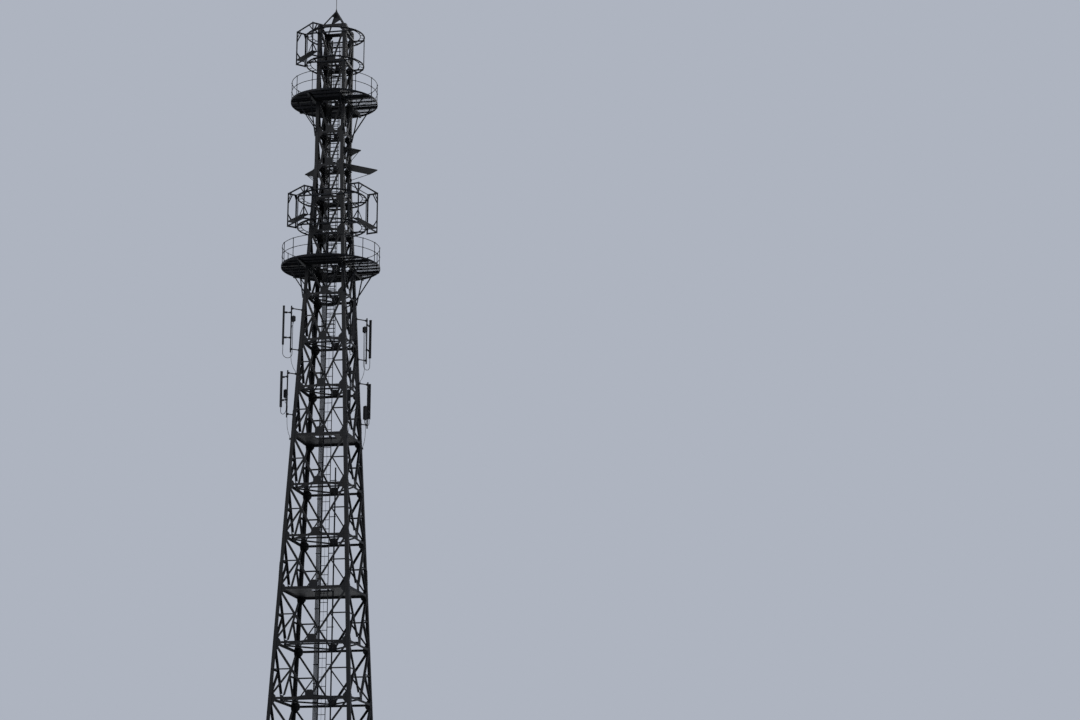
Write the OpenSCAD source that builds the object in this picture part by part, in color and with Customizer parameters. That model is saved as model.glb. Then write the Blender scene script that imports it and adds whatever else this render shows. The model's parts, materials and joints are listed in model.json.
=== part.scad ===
// Four-legged lattice telecom tower, a 1:2 scale model.
// X runs along the front face, Y from the front face to the back face, Z up.
// The origin is on the ground, in the middle between the four legs.

/* [Shaft] */
// Height of the leg tops above the ground
shaft_h = 27050; // [26600:10:27600]
// Width of the shaft over the outside of the legs, at the ground
base_w = 2980; // [2900:10:3400]
// Width of the upright upper shaft over the outside of the legs
top_w = 830; // [790:10:900]
// Height of the lowest ring of horizontals
first_level_z = 300; // [240:10:420]
// Number of braced panels between the ground and the neck of the lower platform
low_panels = 13; // [11:1:14]
// How much taller each panel is than the one above it
panel_growth = 24; // [0:1:40]
// Height of the short panel under the lower platform
neck_h = 875; // [820:5:950]
// Number of panels between the two platforms
mid_panels = 5; // [5:1:6]
// Number of those panels that still lean inwards
leaning_mid_panels = 3; // [2:1:4]
// Number of panels above the upper platform
top_panels = 2; // [2:1:3]

/* [Sections] */
// Width of the leg angle
leg_w = 100; // [90:1:120]
// Thickness of the leg angle
leg_t = 10; // [8:0.5:14]
// Width of the horizontal angles
horizontal_w = 62; // [50:1:75]
// Width of the main diagonal angles
diagonal_w = 56; // [45:1:65]
// Width of the secondary angles
secondary_w = 36; // [28:1:45]
// Thickness of all bracing angles and gussets
brace_t = 6; // [5:0.5:8]
// Height of the gusset where a horizontal meets a leg
node_gusset_h = 330; // [240:5:400]
// Reach of that gusset from the outer corner of the leg
node_gusset_w = 200; // [170:5:230]
// Side of the gusset in the middle of a horizontal
mid_gusset_w = 230; // [180:5:260]
// Width of the plan bracing angles
plan_w = 46; // [36:1:55]
// Gap left between bolted pieces
seat = 0.3; // [0.2:0.05:0.5]

/* [Feet] */
// Side of the base plates
foot_w = 340; // [300:5:400]
// Thickness of the base plates
foot_t = 25; // [16:1:40]
// Spacing of the anchor bolts
anchor_spacing = 250; // [220:5:260]
// Radius of the anchor bolt holes
anchor_r = 15; // [10:0.5:18]
// Distance from the outer corner of a leg to the edge of its base plate
foot_margin = 110; // [90:5:130]

/* [Platforms] */
// Height of the lower platform's floor
lower_deck_z = 20025; // [19900:5:20150]
// Height of the upper platform's floor
upper_deck_z = 24850; // [24700:5:25000]
// Radius of the lower platform
lower_deck_r = 1375; // [1320:5:1430]
// Radius of the upper platform
upper_deck_r = 1225; // [1180:5:1280]
// Thickness of the floor grating
deck_t = 14; // [10:1:20]
// Depth of the platform beams
beam_h = 75; // [60:1:90]
// Width of the platform beams
beam_w = 64; // [50:1:75]
// Depth of the rim
rim_h = 40; // [30:1:55]
// Width of the rim
rim_w = 14; // [10:1:20]
// Width of the joists
joist_w = 14; // [10:1:20]
// Depth of the joists
joist_h = 40; // [30:1:55]
// Spacing of the joists
joist_gap = 280; // [220:5:320]
// Width and thickness of the knee braces
knee_w = 28; // [22:1:34]
// Share of the platform radius at which a knee brace meets its beam
knee_reach = 0.78; // [0.7:0.01:0.84]

/* [Handrails] */
// Height of the top rail's centre above the floor
rail_h = 550; // [500:5:600]
// Height of the middle rail's centre above the floor
mid_rail_h = 285; // [240:5:320]
// Radius of the rails
rail_r = 9; // [7:0.5:12]
// Radius of the posts
post_r = 10; // [8:0.5:13]
// Distance from the platform's edge to the posts' centres
post_inset = 26; // [22:1:34]
// Number of posts on the lower platform
lower_posts = 16; // [12:1:20]
// Number of posts on the upper platform
upper_posts = 12; // [10:1:16]

/* [Landings] */
// Which rings of horizontals, counted from the neck down, carry a landing inside the shaft
landing_levels = [3, 6];
// Thickness of a landing's floor
landing_t = 12; // [8:1:16]
// Depth of the hatch in a landing, from the ladder's back
hatch_d = 420; // [380:5:450]
// Clear distance from a landing's hatch to the outermost cable and the conduit
hatch_clear = 12; // [8:1:16]

/* [Ladder and cables] */
// Distance between the ladder's stiles, over their outsides
ladder_w = 220; // [200:2:240]
// Width of a stile across the ladder
stile_w = 14; // [10:1:18]
// Depth of a stile
stile_d = 36; // [28:1:44]
// Radius of the rungs
rung_r = 9; // [7:0.5:11]
// Spacing of the rungs
rung_gap = 250; // [220:5:280]
// Distance from the shaft's centre to the back of the stiles
ladder_y = 80; // [60:2:100]
// Radius of a feeder cable
feeder_r = 14; // [10:0.5:15]
// Number of feeder cables
feeders = 4; // [3:1:5]
// Radius of the power conduit
conduit_r = 20; // [14:1:22]
// Height of the power conduit's upper end
conduit_top = 14350; // [13500:10:15000]
// Clear distance between the ladder and the conduit
conduit_gap = 120; // [90:5:150]

/* [Antennas] */
// Height of the upper row's pole tops
upper_pole_top = 18720; // [18650:5:18780]
// Height of the lower row's pole tops
lower_pole_top = 16895; // [16850:5:16950]
// Height of an upper antenna panel
upper_panel_h = 1075; // [1000:5:1120]
// Height of a lower antenna panel
lower_panel_h = 975; // [900:5:1050]
// Width of an antenna panel
panel_w = 70; // [58:1:85]
// Depth of an antenna panel
panel_d = 58; // [50:1:68]
// Radius of the corners of an antenna panel
panel_round = 23; // [10:1:24]
// Length of an antenna pole
pole_h = 1300; // [1240:5:1340]
// Radius of an antenna pole
pole_r = 19; // [15:0.5:22]
// Distance from the leg's corner to an upper pole's centre, at the pole's middle
upper_standoff = 277; // [240:1:320]
// The same distance in the lower row
lower_standoff = 222; // [200:1:260]
// Distance from the pole's centre to the panel's middle
panel_out = 210; // [200:2:240]
// Width of a radio unit
radio_w = 84; // [78:2:100]
// Depth of a radio unit
radio_d = 70; // [55:1:85]
// Radius of a jumper cable
jumper_r = 8; // [6:0.5:10]

/* [Ring mounts and sector frames] */
// Distance from the leg tops down to the upper ring of the top mount
top_ring_drop = 225; // [180:5:280]
// Height between the rings of the top mount
top_ring_gap = 875; // [820:5:900]
// Radius of the top mount's rings
top_ring_r = 805; // [780:5:850]
// Height of the upper ring of the middle mount
mid_ring_z = 22000; // [21950:5:22050]
// Height between the rings of the middle mount
mid_ring_gap = 850; // [800:5:880]
// Radius of the middle mount's rings
mid_ring_r = 950; // [920:5:980]
// Radius of the ring pipes
ring_pipe_r = 22; // [16:0.5:25]
// Radius of the posts between the rings
ring_post_r = 13; // [10:0.5:16]
// Width of a sector frame
sector_w = 900; // [820:5:950]
// Width of the tall sector frame on the right
tall_sector_w = 1070; // [1000:5:1120]
// How much the tall frame stands over the others, above and below
tall_extra = 100; // [60:5:140]
// Distance from the rings' centre line to a sector frame's outer side
sector_out = 200; // [180:5:240]
// Height of a sector frame over the upper ring
sector_over = 75; // [60:5:100]
// Depth of a sector frame under the lower ring
sector_under = 35; // [35:5:60]
// Height of a sector's floor above its lowest rails
sector_floor_z = 140; // [110:5:170]
// Radius of a sector frame's posts
frame_pipe_r = 15; // [12:0.5:18]
// Radius of its rails
frame_rail_r = 12; // [10:0.5:14]
// Radius of its knees
frame_knee_r = 9; // [7:0.5:11]
// Turn of the first sector about Z
sector_turn = -14; // [-20:1:-10]

/* [Cap] */
// Height of the pyramid on the leg tops
cap_h = 550; // [500:5:600]
// Half the width of the pyramid over its struts' feet
cap_foot = 310; // [300:5:330]
// Width of the pyramid's struts
cap_strut_w = 36; // [30:1:44]
// Thickness of the pyramid's struts
cap_strut_t = 28; // [20:1:34]
// Height of the larger plate between the struts, from the apex down
cap_plate_h = 330; // [280:5:360]
// Height of the smaller plate across it
cap_cross_h = 190; // [150:5:230]
// Length of the lightning rod
rod_h = 940; // [800:10:1000]
// Radius of the lightning rod
rod_r = 8; // [6:0.5:10]

/* [Side arms] */
// Height of the pointed arm on the right face
right_arm_z = 23380; // [23350:5:23420]
// Height of the pointed arm on the left face
left_arm_z = 22770; // [22720:5:22820]
// Height of the slanted arm on the right face
slant_arm_z = 22890; // [22850:5:22930]
// Distance from the shaft's face to a pointed arm's tip
arm_reach = 380; // [340:5:420]
// Length of the slanted arm along its longer side
slant_reach = 1070; // [1000:5:1130]
// Width of the slanted arm
slant_w = 430; // [390:5:460]

/* [Hidden] */

eps = 0.01;
steel = "#2b2c30";
dark_steel = "#222327";
radome = "#3a3b40";
rubber = "#17181a";

// Heights of the horizontals
neck_z = lower_deck_z - neck_h;
low_panel_h = (neck_z - first_level_z) / low_panels - panel_growth * (low_panels - 1) / 2;
function low_z(i) = neck_z - i * low_panel_h - panel_growth * i * (i - 1) / 2;
mid_panel_h = (upper_deck_z - lower_deck_z) / mid_panels;
function mid_z(i) = lower_deck_z + i * mid_panel_h;
top_panel_h = (shaft_h - upper_deck_z) / top_panels;
function top_z(i) = upper_deck_z + i * top_panel_h;
kink_z = mid_z(leaning_mid_panels);
low_levels = [for (i = [low_panels:-1:0]) low_z(i)];
leaning_levels = concat(low_levels, [for (i = [0:leaning_mid_panels]) mid_z(i)]);
upright_levels = concat(
    [for (i = [leaning_mid_panels:mid_panels]) mid_z(i)],
    [for (i = [1:top_panels]) top_z(i)]
);

// Lean of the faces and half the width over the legs at a height
lean = (base_w - top_w) / 2 / kink_z;
lean_angle = atan(lean);
function half_w(z) = z < kink_z ? base_w / 2 - z * lean : top_w / 2;

// Depths below a face's plane: the bracing lies behind the leg's flange
brace_y = leg_t + seat;
inner_y = brace_y + brace_t + seat;
flat_clear = 4;
rib_clear = 9;
flat_inset = inner_y + flat_clear;
rib_inset = brace_y + horizontal_w + rib_clear;

module tube_at(p, r, h) {
    translate(p) cylinder(r = r, h = h, $fn = 32);
}

// A straight pipe between two points
module pipe(p, q, r) {
    d = q - p;
    flat = norm([d[0], d[1]]);
    translate(p)
        rotate([0, atan2(flat, d[2]), atan2(d[1], d[0])])
            cylinder(r = r, h = norm(d), $fn = 32);
}

// A flat strip between two points of a plane
module strip(p, q, w) {
    d = q - p;
    translate(p)
        rotate(atan2(d[1], d[0]))
            translate([0, -w / 2])
                square([norm(d), w]);
}

// The standing rib along one edge of such a strip, short of its ends
module edge_rib(p, q, w, from, to, side) {
    d = q - p;
    translate(p)
        rotate(atan2(d[1], d[0]))
            translate([from, side > 0 ? w / 2 - brace_t : -w / 2])
                square([norm(d) - from - to, brace_t]);
}

// Base plates

foot_x = base_w / 2 + foot_margin - foot_w / 2;

module base_plate() {
    difference() {
        translate([-foot_w / 2, -foot_w / 2, 0]) cube([foot_w, foot_w, foot_t]);
        for (sx = [-1, 1], sy = [-1, 1])
            translate([sx * anchor_spacing / 2, sy * anchor_spacing / 2, -foot_t / 2])
                cylinder(r = anchor_r, h = 2 * foot_t, $fn = 32);
    }
}

module base_plates() {
    color(dark_steel)
        for (q = [0:3])
            rotate([0, 0, 90 * q])
                translate([foot_x, foot_x, 0])
                    base_plate();
}

// Legs: an angle that leans up to the kink, and an upright angle above it

module leg_section() {
    translate([-leg_t, -leg_w]) square([leg_t, leg_w]);
    translate([-leg_w, -leg_t]) square([leg_w, leg_t]);
}

// Length by which the leaning angle is drawn too long at either end before it is cut level
leg_spare = leg_w / 2;

module leg(q) {
    tilt = atan(lean * sqrt(2));
    color(steel)
        rotate([0, 0, 90 * q]) {
            intersection() {
                translate([base_w / 2, base_w / 2, 0])
                    rotate(a = tilt, v = [1, -1, 0])
                        translate([0, 0, -leg_spare])
                            linear_extrude(kink_z / cos(tilt) + 2 * leg_spare) leg_section();
                translate([0, 0, foot_t + seat])
                    cube([base_w, base_w, kink_z - foot_t - seat]);
            }
            translate([top_w / 2, top_w / 2, kink_z - eps])
                linear_extrude(shaft_h - kink_z + eps) leg_section();
        }
}

// Braced faces, drawn flat: x across the face, y up along it

function up(z, leaning) = leaning ? z / cos(lean_angle) : z;

node_gusset_top = 0.55;
mid_gusset_side = 1.3;
mid_gusset_rise = 1.8;
mid_gusset_top = 0.6;
rib_start = 2.5 * diagonal_w;

module node_gusset(x, y, side) {
    a = node_gusset_w;
    c = node_gusset_top * a;
    h = node_gusset_h;
    b = horizontal_w;
    outline = [[0, -h / 2], [-c, -h / 2], [-a, -b], [-a, b], [-c, h / 2], [0, h / 2]];
    translate([side * x, y - b / 2])
        polygon([for (p = outline) [side * p[0], p[1]]]);
}

module mid_gusset(y) {
    a = mid_gusset_w / 2;
    b = mid_gusset_top * a;
    c = mid_gusset_side * a;
    h = mid_gusset_rise * a;
    translate([0, y - horizontal_w / 2])
        polygon([[-a, 0], [a, 0], [a, c], [b, h], [-b, h], [-a, c]]);
}

// Flat flanges of one panel between the levels z0 and z1
module panel_flats(z0, z1, leaning, secondary) {
    y0 = up(z0, leaning);
    y1 = up(z1, leaning);
    w0 = half_w(z0) - leg_w / 2;
    w1 = half_w(z1) - leg_w / 2;
    wm = half_w((z0 + z1) / 2);
    for (s = [-1, 1]) {
        foot = [s * diagonal_w, y0 + diagonal_w];
        head = [s * w1, y1 - horizontal_w];
        middle = (foot + head) / 2;
        strip(foot, head, diagonal_w);
        if (secondary) {
            strip(middle, [s * wm, middle[1]], secondary_w);
            strip(middle, [s * w0, y0 + secondary_w], secondary_w);
        }
    }
}

// Standing flanges of the same panel
module panel_ribs(z0, z1, leaning, secondary) {
    y0 = up(z0, leaning);
    y1 = up(z1, leaning);
    w0 = half_w(z0) - leg_w / 2;
    w1 = half_w(z1) - leg_w / 2;
    wm = half_w((z0 + z1) / 2);
    for (s = [-1, 1]) {
        foot = [s * diagonal_w, y0 + diagonal_w];
        head = [s * w1, y1 - horizontal_w];
        middle = (foot + head) / 2;
        edge_rib(foot, head, diagonal_w, rib_start, 0, s);
        if (secondary) {
            edge_rib(middle, [s * wm, middle[1]], secondary_w, 0, 0, s);
            edge_rib(middle, [s * w0, y0 + secondary_w], secondary_w, 0, 0, -s);
        }
    }
}

module face_outline(levels, leaning, inset) {
    last = len(levels) - 1;
    za = levels[0] - node_gusset_h;
    zb = levels[last];
    bottom = leaning ? za : levels[0] + seat;
    polygon([
        [-half_w(bottom) + inset, up(bottom, leaning)], [half_w(bottom) - inset, up(bottom, leaning)],
        [half_w(zb) - inset, up(zb, leaning) - eps], [-half_w(zb) + inset, up(zb, leaning) - eps]
    ]);
}

module face_flats(levels, leaning) {
    last = len(levels) - 1;
    intersection() {
        face_outline(levels, leaning, flat_inset);
        union() {
            for (i = [0:last]) {
                y = up(levels[i], leaning);
                w = half_w(levels[i]);
                if (leaning || i > 0)
                    strip([-w, y - horizontal_w / 2], [w, y - horizontal_w / 2], horizontal_w);
                if (i < last)
                    mid_gusset(y);
                for (s = [-1, 1])
                    node_gusset(w, y, s);
            }
            for (i = [0:last - 1])
                panel_flats(levels[i], levels[i + 1], leaning, levels[i] < neck_z - eps);
        }
    }
}

module face_ribs(levels, leaning) {
    last = len(levels) - 1;
    intersection() {
        face_outline(levels, leaning, rib_inset);
        union() {
            for (i = [0:last]) {
                y = up(levels[i], leaning);
                w = half_w(levels[i]);
                if (leaning || i > 0)
                    translate([-w, y - brace_t]) square([2 * w, brace_t]);
            }
            for (i = [0:last - 1])
                panel_ribs(levels[i], levels[i + 1], leaning, levels[i] < neck_z - eps);
        }
    }
}

module face(q, levels, leaning) {
    at_y = leaning ? -base_w / 2 : -top_w / 2;
    tip = leaning ? -lean_angle : 0;
    color(steel)
        rotate([0, 0, 90 * q])
            translate([0, at_y, 0])
                rotate([tip, 0, 0])
                    rotate([90, 0, 0]) {
                        translate([0, 0, -brace_y - brace_t])
                            linear_extrude(brace_t) face_flats(levels, leaning);
                        translate([0, 0, -brace_y - horizontal_w])
                            linear_extrude(horizontal_w) face_ribs(levels, leaning);
                    }
}

// Plan bracing: angles that join the middles of the horizontals on top of their ledges

plan_half_gap = 16;
plan_land = 44;
plan_clear = 1;
function plan_d(z) = half_w(z + plan_w) - inner_y - plan_clear;
// A ledge leans with its face, so it is a little lower where a plan bar lands on it
function ledge_z(z) = z - (half_w(z) - plan_d(z)) * (z > kink_z ? 0 : lean);
function plan_line(z) = plan_d(z) + plan_half_gap + plan_land;

module plan_band(z, w) {
    d = plan_d(z);
    line = plan_line(z);
    intersection() {
        translate([plan_half_gap, plan_half_gap]) square(d - plan_half_gap);
        translate([line, 0]) rotate(135) square([2 * line, w]);
    }
}

module plan_bars(z) {
    for (q = [0:3])
        rotate([0, 0, 90 * q])
            translate([0, 0, ledge_z(z) + seat]) {
                linear_extrude(brace_t) plan_band(z, plan_w);
                linear_extrude(plan_w) plan_band(z, brace_t);
            }
}

module plan_bracing() {
    color(steel) {
        for (i = [0:low_panels])
            if (!is_landing(i))
                plan_bars(low_z(i));
        for (z = high_levels)
            plan_bars(z);
    }
}

// Levels with plan bracing from the lower platform's floor up
high_levels = concat([for (i = [0:mid_panels]) mid_z(i)], [for (i = [1:1:top_panels - 1]) top_z(i)]);

// Landings inside the shaft

function is_landing(i) = len(search(i, landing_levels)) > 0;

module landing(z) {
    w = half_w(z + landing_t + seat) - inner_y - plan_clear;
    xa = feeder_x(feeders - 1) - feeder_r - hatch_clear;
    xb = conduit_x + conduit_r + hatch_clear;
    translate([0, 0, ledge_z(z) + seat])
        linear_extrude(landing_t)
            difference() {
                square(2 * w, center = true);
                translate([xa, ladder_y - hatch_d]) square([xb - xa, hatch_d]);
            }
}

module landings() {
    color(dark_steel)
        for (i = landing_levels)
            landing(low_z(i));
}

// Ladder, its beams, and what is clipped beside it

ladder_bottom = 40;
ladder_top = shaft_h - 300;
rungs = floor((ladder_top - ladder_bottom - rung_gap / 2) / rung_gap);

module ladder() {
    color(steel) {
        for (s = [-1, 1])
            translate([s * (ladder_w - stile_w) / 2 - stile_w / 2, ladder_y - stile_d, ladder_bottom])
                cube([stile_w, stile_d, ladder_top - ladder_bottom]);
        for (i = [0:rungs - 1])
            translate([-ladder_w / 2 + stile_w / 2, ladder_y - stile_d / 2, ladder_bottom + rung_gap * (i + 0.5)])
                rotate([0, 90, 0])
                    cylinder(r = rung_r, h = ladder_w - stile_w, $fn = 24);
    }
}

beam_angle_w = 40;

// A beam behind the ladder at height z that rests with its ends on what carries it
module ladder_beam(z, reach) {
    translate([-reach, ladder_y + seat, z]) cube([2 * reach, brace_t, beam_angle_w]);
    translate([-reach, ladder_y + seat, z]) cube([2 * reach, beam_angle_w, brace_t]);
}

module ladder_beam_on_landing(z) {
    ladder_beam(ledge_z(z) + landing_t + 2 * seat, half_w(z + landing_t) - rib_inset);
}

module ladder_beam_on_plan(z) {
    ladder_beam(ledge_z(z) + plan_w + 2 * seat, plan_line(z) - ladder_y - 2 * plan_clear);
}

module ladder_beams() {
    color(steel) {
        for (i = [0:low_panels])
            if (is_landing(i))
                ladder_beam_on_landing(low_z(i));
            else
                ladder_beam_on_plan(low_z(i));
        for (z = high_levels)
            ladder_beam_on_plan(z);
    }
}

cable_gap = 6;
feeder_pitch = 2 * feeder_r + cable_gap;
function feeder_x(i) = -ladder_w / 2 - feeder_r - cable_gap - i * feeder_pitch;

module feeder_cables() {
    color(rubber)
        for (i = [0:feeders - 1])
            translate([feeder_x(i), ladder_y - feeder_r, 0])
                cylinder(r = feeder_r, h = ladder_top, $fn = 24);
}

conduit_x = ladder_w / 2 + conduit_gap + conduit_r;

module power_conduit() {
    color(dark_steel)
        translate([conduit_x, ladder_y - conduit_r, 0])
            cylinder(r = conduit_r, h = conduit_top, $fn = 32);
}

// Platforms: beams that pass outside the legs, a rim, joists and a floor

function beam_top(z) = z - deck_t - seat;
function beam_line(z) = half_w(beam_top(z) - beam_h) + seat;

module platform_rim(r) {
    difference() {
        circle(r = r, $fn = 96);
        circle(r = r - rim_w, $fn = 96);
    }
}

module platform_beams(w, r) {
    intersection() {
        circle(r = r - rim_w / 2, $fn = 96);
        for (q = [0:3])
            rotate(90 * q)
                translate([-r, w]) square([2 * r, beam_w]);
    }
}

module platform_joists(w, r) {
    rows = floor(r / joist_gap);
    intersection() {
        circle(r = r - rim_w / 2, $fn = 96);
        difference() {
            for (k = [-rows:rows])
                translate([-r, k * joist_gap - joist_w / 2]) square([2 * r, joist_w]);
            square(2 * w, center = true);
        }
    }
}

module platform_frame(z, r) {
    w = beam_line(z);
    color(steel) {
        translate([0, 0, beam_top(z) - rim_h])
            linear_extrude(rim_h) platform_rim(r);
        translate([0, 0, beam_top(z) - beam_h])
            linear_extrude(beam_h) platform_beams(w, r);
        translate([0, 0, beam_top(z) - joist_h])
            linear_extrude(joist_h) platform_joists(w, r);
    }
}

module platform_deck(z, r) {
    color(dark_steel)
        translate([0, 0, z - deck_t])
            linear_extrude(deck_t)
                difference() {
                    circle(r = r, $fn = 96);
                    square(2 * beam_line(z), center = true);
                }
}

// One bay of a handrail: a post on its foot, and two rails that end at the next post
post_foot_h = 8;
post_foot_r = 1.8 * post_r;

module handrail_bay(z, r, step) {
    rp = r - post_inset;
    sweep = step - asin((post_r + 2 * seat) / rp);
    translate([rp, 0, z + seat]) {
        cylinder(r = post_r, h = rail_h, $fn = 32);
        cylinder(r = post_foot_r, h = post_foot_h, $fn = 32);
    }
    for (h = [mid_rail_h, rail_h])
        rotate_extrude(angle = sweep, $fn = 96)
            translate([rp, z + h]) circle(r = rail_r, $fn = 24);
}

module handrail(z, r, posts) {
    step = 360 / posts;
    color(steel)
        for (i = [0:posts - 1])
            rotate([0, 0, step * (i + 0.5)])
                handrail_bay(z, r, step);
}

// Knee braces lie against the outer faces of the legs and carry the beams

module knee_brace(z, r, drop, side) {
    foot_z = z - drop;
    foot = [side * (half_w(foot_z) - leg_w / 2), foot_z];
    head = [side * knee_reach * r, beam_top(z) - beam_h + knee_w];
    translate([0, -half_w(foot_z - knee_w) - seat, 0])
        rotate([90, 0, 0])
            linear_extrude(knee_w)
                intersection() {
                    strip(foot, head, knee_w);
                    translate([-r, foot_z - knee_w])
                        square([2 * r, beam_top(z) - beam_h - seat - foot_z + knee_w]);
                }
}

// The braces of the side faces start lower, so that they pass under those of the front and back
knee_stagger = 4.3 * knee_w;

module knee_braces(z, r, drop) {
    color(steel)
        for (q = [0:3], side = [-1, 1])
            rotate([0, 0, 90 * q])
                knee_brace(z, r, drop + (q % 2) * knee_stagger, side);
}

// A saddle that hugs the outer corner of the leg in the +X +Y quarter

saddle_t = 8;
saddle_h = 60;
saddle_w = 80;
function saddle_corner(z) = half_w(z - saddle_h / 2) + seat;

module saddle(z) {
    h = saddle_corner(z);
    translate([0, 0, z - saddle_h / 2])
        linear_extrude(saddle_h) {
            translate([h, h - saddle_w]) square([saddle_t, saddle_w + saddle_t]);
            translate([h - saddle_w, h]) square([saddle_w + saddle_t, saddle_t]);
        }
}

// Ring mounts: two pipe rings on four bars that pass outside the legs

ring_bar_w = 18;
ring_bar_h = 40;

module ring_level(z, r) {
    w = half_w(z - ring_bar_h / 2) + seat;
    reach = sqrt(pow(r, 2) - pow(w + ring_bar_w, 2));
    rotate_extrude($fn = 96) translate([r, z]) circle(r = ring_pipe_r, $fn = 24);
    for (q = [0:3])
        rotate([0, 0, 90 * q])
            translate([-reach, w, z - ring_bar_h / 2])
                cube([2 * reach, ring_bar_w, ring_bar_h]);
}

module ring_mount(z_top, gap, r) {
    color(steel) {
        ring_level(z_top, r);
        ring_level(z_top - gap, r);
        for (k = [0:5])
            rotate([0, 0, sector_turn + 60 * k + 30])
                tube_at([r, 0, z_top - gap], ring_post_r, gap);
    }
}

// Sector frames: pipe boxes that stand outside the rings, with a floor, and a knee in each corner of a side

sector_floor_t = 8;
post_knee = 310;
floor_knee = 240;
inner_knee = 200;
front_knee = 220;
knee_share = 0.5;
inner_share = 0.25;

// One side of a box, across y, with posts at x0 and x1
module sector_side(x0, x1, y, z_low, z_top) {
    floor_z = z_low + sector_floor_z;
    d = x1 - x0;
    for (x = [x0, x1])
        tube_at([x, y, z_low - frame_rail_r], frame_pipe_r, z_top - z_low + 2 * frame_rail_r);
    for (z = [z_low, floor_z, z_top])
        pipe([x0, y, z], [x1, y, z], frame_rail_r);
    pipe([x1, y, z_top - post_knee], [x1 - knee_share * d, y, z_top], frame_knee_r);
    pipe([x0, y, z_top - inner_knee], [x0 + inner_share * d, y, z_top], frame_knee_r);
    pipe([x1, y, floor_z + floor_knee], [x1 - knee_share * d, y, floor_z], frame_knee_r);
    pipe([x0, y, floor_z + inner_knee], [x0 + inner_share * d, y, floor_z], frame_knee_r);
}

module sector_frame(turn, ring_z, gap, ring_r, w, extra) {
    y1 = w / 2;
    post_line = ring_r + ring_pipe_r + frame_pipe_r + seat;
    x0 = sqrt(pow(post_line, 2) - pow(y1, 2));
    x1 = ring_r + sector_out;
    z_low = ring_z - gap - sector_under - extra;
    z_top = ring_z + sector_over + extra;
    floor_z = z_low + sector_floor_z;
    floor_in = ring_r + ring_pipe_r + frame_pipe_r;
    color(steel)
        rotate([0, 0, turn]) {
            for (s = [-1, 1]) {
                sector_side(x0, x1, s * y1, z_low, z_top);
                pipe([x1, s * y1, z_top - front_knee], [x1, s * (y1 - front_knee), z_top], frame_knee_r);
                pipe([x1, s * y1, floor_z + front_knee], [x1, s * (y1 - front_knee), floor_z], frame_knee_r);
            }
            for (z = [z_low, floor_z, z_top])
                pipe([x1, -y1, z], [x1, y1, z], frame_rail_r);
            pipe([x0, -y1, z_top], [x0, y1, z_top], frame_rail_r);
            translate([floor_in, -y1, floor_z - sector_floor_t / 2])
                cube([x1 - floor_in, w, sector_floor_t]);
        }
}

// Pyramid on the leg tops, with the lightning rod on its boss

cap_plate_t = 8;
boss_r = 24;
boss_h = 30;
apex_z = shaft_h + cap_h;

cap_corner_w = 1.4 * leg_w;
cap_socket_h = 90;

// One pair of struts in their upright plane
module cap_struts(r0, base_z) {
    intersection() {
        translate([-r0 - cap_strut_w, base_z]) square([2 * (r0 + cap_strut_w), cap_h]);
        for (s = [-1, 1])
            strip([s * r0, base_z], [0, apex_z], cap_strut_w);
    }
}

// The plate of height h between such a pair, from the apex down
module cap_plate(r0, h) {
    r = r0 * h / cap_h;
    polygon([[0, apex_z], [r, apex_z - h], [-r, apex_z - h]]);
}

module cap_pyramid() {
    w = top_w / 2;
    r0 = cap_foot * sqrt(2);
    base_z = shaft_h + seat;
    color(steel) {
        for (q = [0:3])
            rotate([0, 0, 90 * q]) {
                translate([w - cap_corner_w, w - cap_corner_w, base_z])
                    cube([cap_corner_w, cap_corner_w, cap_plate_t]);
                translate([-w + leg_w / 2, w - leg_w / 2 - cap_strut_w / 2, base_z])
                    cube([2 * w - leg_w, cap_strut_w, cap_plate_t]);
                translate([-w + leg_w / 2, w - leg_w / 2 - cap_plate_t / 2, base_z])
                    cube([2 * w - leg_w, cap_plate_t, cap_strut_w]);
            }
        for (pair = [[45, cap_cross_h], [135, cap_plate_h]])
            rotate([0, 0, pair[0]])
                rotate([90, 0, 0]) {
                    translate([0, 0, -cap_strut_t / 2])
                        linear_extrude(cap_strut_t) cap_struts(r0, base_z);
                    translate([0, 0, -cap_plate_t / 2])
                        linear_extrude(cap_plate_t) cap_plate(r0, pair[1]);
                }
        tube_at([0, 0, apex_z - cap_socket_h], boss_r, cap_socket_h + boss_h);
    }
}

rod_collar_h = 4 * rod_r;
rod_point_h = 5 * rod_r;

module lightning_rod() {
    color(dark_steel)
        translate([0, 0, apex_z + boss_h + seat]) {
            cylinder(r = 2 * rod_r, h = rod_collar_h, $fn = 32);
            cylinder(r = rod_r, h = rod_h - rod_point_h, $fn = 32);
            translate([0, 0, rod_h - rod_point_h]) cylinder(r1 = rod_r, r2 = 1, h = rod_point_h, $fn = 32);
        }
}

// Side arms on the upper shaft: a plate with bars round it on the faces of two legs, and struts below

arm_bar = 24;
arm_plate_t = 6;
arm_strut_r = 8;
arm_base_share = 0.88;
right_arm_drop = 150;
left_arm_drop = 260;
slant_arm_drop = 235;

// A strut from the point x, y of an arm at height z down to a saddle on the leg on side s
module arm_strut(x, y, z, drop, s) {
    c = saddle_corner(z - drop);
    rotate([0, 0, s > 0 ? 0 : -90]) saddle(z - drop);
    pipe([x, y, z], [c + saddle_t + arm_strut_r / 2, s * (c - saddle_w / 2), z - drop], arm_strut_r);
}

// An arm on the +X face: a plate with these corners, the first and the last of them at the face
module side_arm(z, corners) {
    x0 = half_w(z - arm_bar / 2) + seat;
    w = half_w(z);
    translate([x0, -w, z - arm_bar / 2]) cube([arm_bar, 2 * w, arm_bar]);
    translate([0, 0, z - arm_bar / 2]) {
        linear_extrude(arm_plate_t) polygon(corners);
        linear_extrude(arm_bar)
            for (i = [0:len(corners) - 2])
                strip(corners[i], corners[i + 1], arm_bar);
    }
}

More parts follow.
